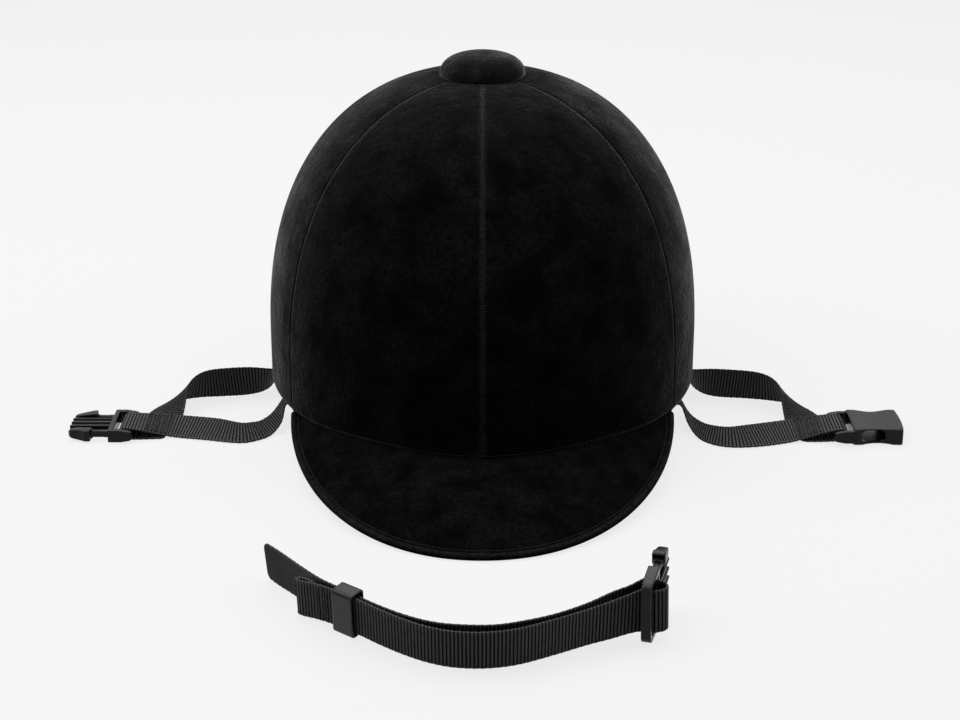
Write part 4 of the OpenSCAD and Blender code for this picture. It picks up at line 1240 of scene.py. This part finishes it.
def make_harness_strap(side, sign, end, material):
    name = f"{end}_strap_{side}"
    front = end == "front"
    rows = [*tab_rows(side, 0 if front else 1), *[station(row) for row in ROUTES[name]],
            *(wrap_rows(side, sign) if front else [])]
    strap, laid = make_strap(name + "_webbing", smooth_route(rows), pressed, material)
    start, finish = [(sign * x, y, z) for x, y, z in BENDS[end]]
    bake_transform(strap)
    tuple(start)
    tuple(finish)
    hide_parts(name, "anchor_tabs")
    cut_size(laid)
    if front:
        patch = (sign * PATCH_X, BAR[side].y + 0.5 * MM, PATCH_H)
        make_stitches(f"strap_end_stitches_{side}", sewn_lines(laid, patch, PATCH_L, PATCH_HALF),
                      STRAP_THREAD, "webbing", body=f"harness_{side}", pitch=1.9, length=1.6,
                      thickness=0.5, wobble=0.3)


WOVEN = woven_tree()
# Grooves and ribs of the webbing: painted shade and painted light.
WEBBING = webbing_material("black_webbing", 0.001, 0.043)
# A darker copy of the same webbing: painted shade on the rear straps.
SHADED_REAR_WEBBING = webbing_material("black_rear_webbing_painted_shade", 0.0005, 0.008)
STRAP_THREAD = thread_material("strap_thread", 0.014)
for side, sign in (("right", -1), ("left", 1)):
    make_harness_strap(side, sign, "front", WEBBING)
    make_harness_strap(side, sign, "rear", SHADED_REAR_WEBBING)


# Side release buckles
# Moulded black nylon. The right straps hold the plug half, with its guide blade and two
# sprung prongs, and the left straps hold the socket half, waisted and open at its sides.
BUCKLE_PLASTIC = moulded_material("buckle_nylon", 0.003, 0.26, 0.5 * MM)
MOULD_GRAIN = 0.3 * MM


def soften(shown, passes=9):
    """Rounds a moulded piece's edges and corners, as its mould does."""
    fine = shown.modifiers.new("fine_grid", "REMESH")
    fine.mode = "VOXEL"
    fine.voxel_size = MOULD_GRAIN
    fine.use_smooth_shade = True
    rounder = shown.modifiers.new("mould_radius", "SMOOTH")
    rounder.factor = 0.5
    rounder.iterations = passes


def finish_moulding(node, passes=9):
    """Nylon, and rounded edges, for a moulded piece whose packed form is right."""
    dress(node, BUCKLE_PLASTIC)
    soften(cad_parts[node], passes)


for plug_part in ("buckle_plug_right", "plug_prong_front_right", "plug_prong_rear_right"):
    finish_moulding(plug_part)
finish_moulding("buckle_socket_left", 15)


# Chin strap
# One length of the same webbing, lying on its edge in front of the peak. It goes round the
# bar of its own plug half, back beside itself and through a plastic keeper.
CHIN_WIDTH = np.array([0, -0.31, 0.95])

# Rows as in the routes above. Where a row gives no direction, the width is CHIN_WIDTH.
CHIN_FRONT = [(-66, -248.5, 0.4), (-70.5, -245, 0.4), (-73.4, -244.6, 0.3), (-71.5, -247.2, 0.4),
              (-65, -251.6, 1.1), (-58, -257.4, 1.8), (-48, -265.6, 1.8), (-40, -272, 1.2),
              (-30, -279, 0.5), (-20, -285, 0.3), (-10, -288.5, 0.3), (2, -289, 0.3),
              (14, -286, 0.3), (28, -278.5, 0.3), (40, -272, 0.7),
              (50, -268.5, 2, 0, -0.25, 0.97), (57, -266.4, 3.4, 0, -0.2, 0.98)]
CHIN_BACK = [(57, -259.5, 3.4, 0, -0.2, 0.98), (50, -261.5, 2, 0, -0.25, 0.97),
             (40, -267, 0.7), (28, -274.5, 0.3), (16, -280, 0.3), (4, -283.4, 0.3),
             (-10, -283, 0.3), (-20, -280.5, 0.3), (-30, -275.5, 0.5), (-40, -269.2, 1.2),
             (-48, -263, 1.8), (-57, -254.6, 1.8), (-64, -246.5, 1),
             (-71.5, -236, 0.4, 0, -0.32, 0.95), (-78, -227.5, 0.4, 0, -0.3, 0.95),
             (-83.5, -221, 0.6, 0, -0.28, 0.96), (-88.5, -215, 0.9, -0.04, -0.28, 0.96)]

CHIN_FADE = ([0, 0.9, 0.93, 1], [1, 1, 0.15, 0.1])
CHIN_PATCH = (-62 * MM, -254 * MM, 10.5 * MM)
CHIN_PATCH_L = 5 * MM
CHIN_PATCH_HALF = 8.6 * MM
KEEPER_TURN = math.radians(-40)
KEEPER_MORE = 1.8 * MM

# The chin buckle's bar, in millimetres, and the ways ahead, aside and up from it
CHIN_BAR = np.array([65, -262.5, 14.779])
CHIN_TURN = math.radians(74)
CHIN_LEAN = math.radians(8)
CHIN_AHEAD = np.array([math.cos(CHIN_TURN) * math.cos(CHIN_LEAN),
                       math.sin(CHIN_TURN) * math.cos(CHIN_LEAN), math.sin(CHIN_LEAN)])
CHIN_SIDE = np.array([math.sin(CHIN_TURN), -math.cos(CHIN_TURN), 0])
CHIN_UP = np.cross(CHIN_SIDE, CHIN_AHEAD)

# The loop's points, in millimetres ahead and aside of the bar
CHIN_LOOP = [(-3.9, -2), (-3.9, 2.5), (-1, 6.5), (2.6, 5.5), (3.4, 1.5), (3.3, -3)]


def chin_rows():
    """The front layer from the folded end, the loop round the bar, and the back layer."""
    front, back = ([station(row if len(row) == 6 else (*row, *CHIN_WIDTH)) for row in rows]
                   for rows in (CHIN_FRONT, CHIN_BACK))
    loop = [np.concatenate([(CHIN_BAR + x * CHIN_AHEAD + y * CHIN_SIDE) * MM, CHIN_UP])
            for x, y in CHIN_LOOP]
    return [*front, *loop, *back]


def faded(middle):
    """The ribs are worn flat towards the loose end."""
    return np.interp(np.linspace(0, 1, len(middle)), *CHIN_FADE)


def make_chin_strap():
    strap, laid = make_strap("chin_webbing_strap", smooth_route(chin_rows()), faded, WEBBING)
    fix(strap, "webbing", "chin_webbing", body="chin_strap")
    cut_size(laid)
    lines = sewn_lines(laid, CHIN_PATCH, CHIN_PATCH_L, CHIN_PATCH_HALF)
    make_stitches("chin_end_stitches", lines, STRAP_THREAD, "webbing", body="chin_strap",
                  pitch=1.9, length=1.4, thickness=0.5, wobble=0.25)


def make_keeper():
    """The keeper, slanted to stand along the webbing's width, and longer at its left end."""
    shape = bmesh.new()
    shape.from_mesh(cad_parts["chin_keeper"].data)
    bmesh.ops.remove_doubles(shape, verts=shape.verts, dist=0.001 * MM)
    mesh = bpy.data.meshes.new("chin_keeper_moulded")
    shape.to_mesh(mesh)
    shape.free()
    points = np.empty(len(mesh.vertices) * 3)
    mesh.vertices.foreach_get("co", points)
    points = points.reshape(-1, 3)
    from_middle = points - (points.min(0) + points.max(0)) / 2
    way = np.array([math.cos(KEEPER_TURN), math.sin(KEEPER_TURN), 0])
    ahead = from_middle @ way
    slant = CHIN_WIDTH @ way / CHIN_WIDTH[2] * from_middle[:, 2]
    longer = KEEPER_MORE * (ahead - ahead.min()) / np.ptp(ahead)
    mesh.vertices.foreach_set("co", (points + np.outer(slant + longer, way)).ravel())
    mesh.materials.append(BUCKLE_PLASTIC)
    piece = add_object("chin_keeper_moulded", mesh)
    soften(piece)
    fix(piece, "buckle", "chin_keeper", body="keeper")


make_chin_strap()
finish_moulding("chin_buckle")
finish_moulding("chin_prong_upper", 18)
finish_moulding("chin_prong_lower", 18)
make_keeper()
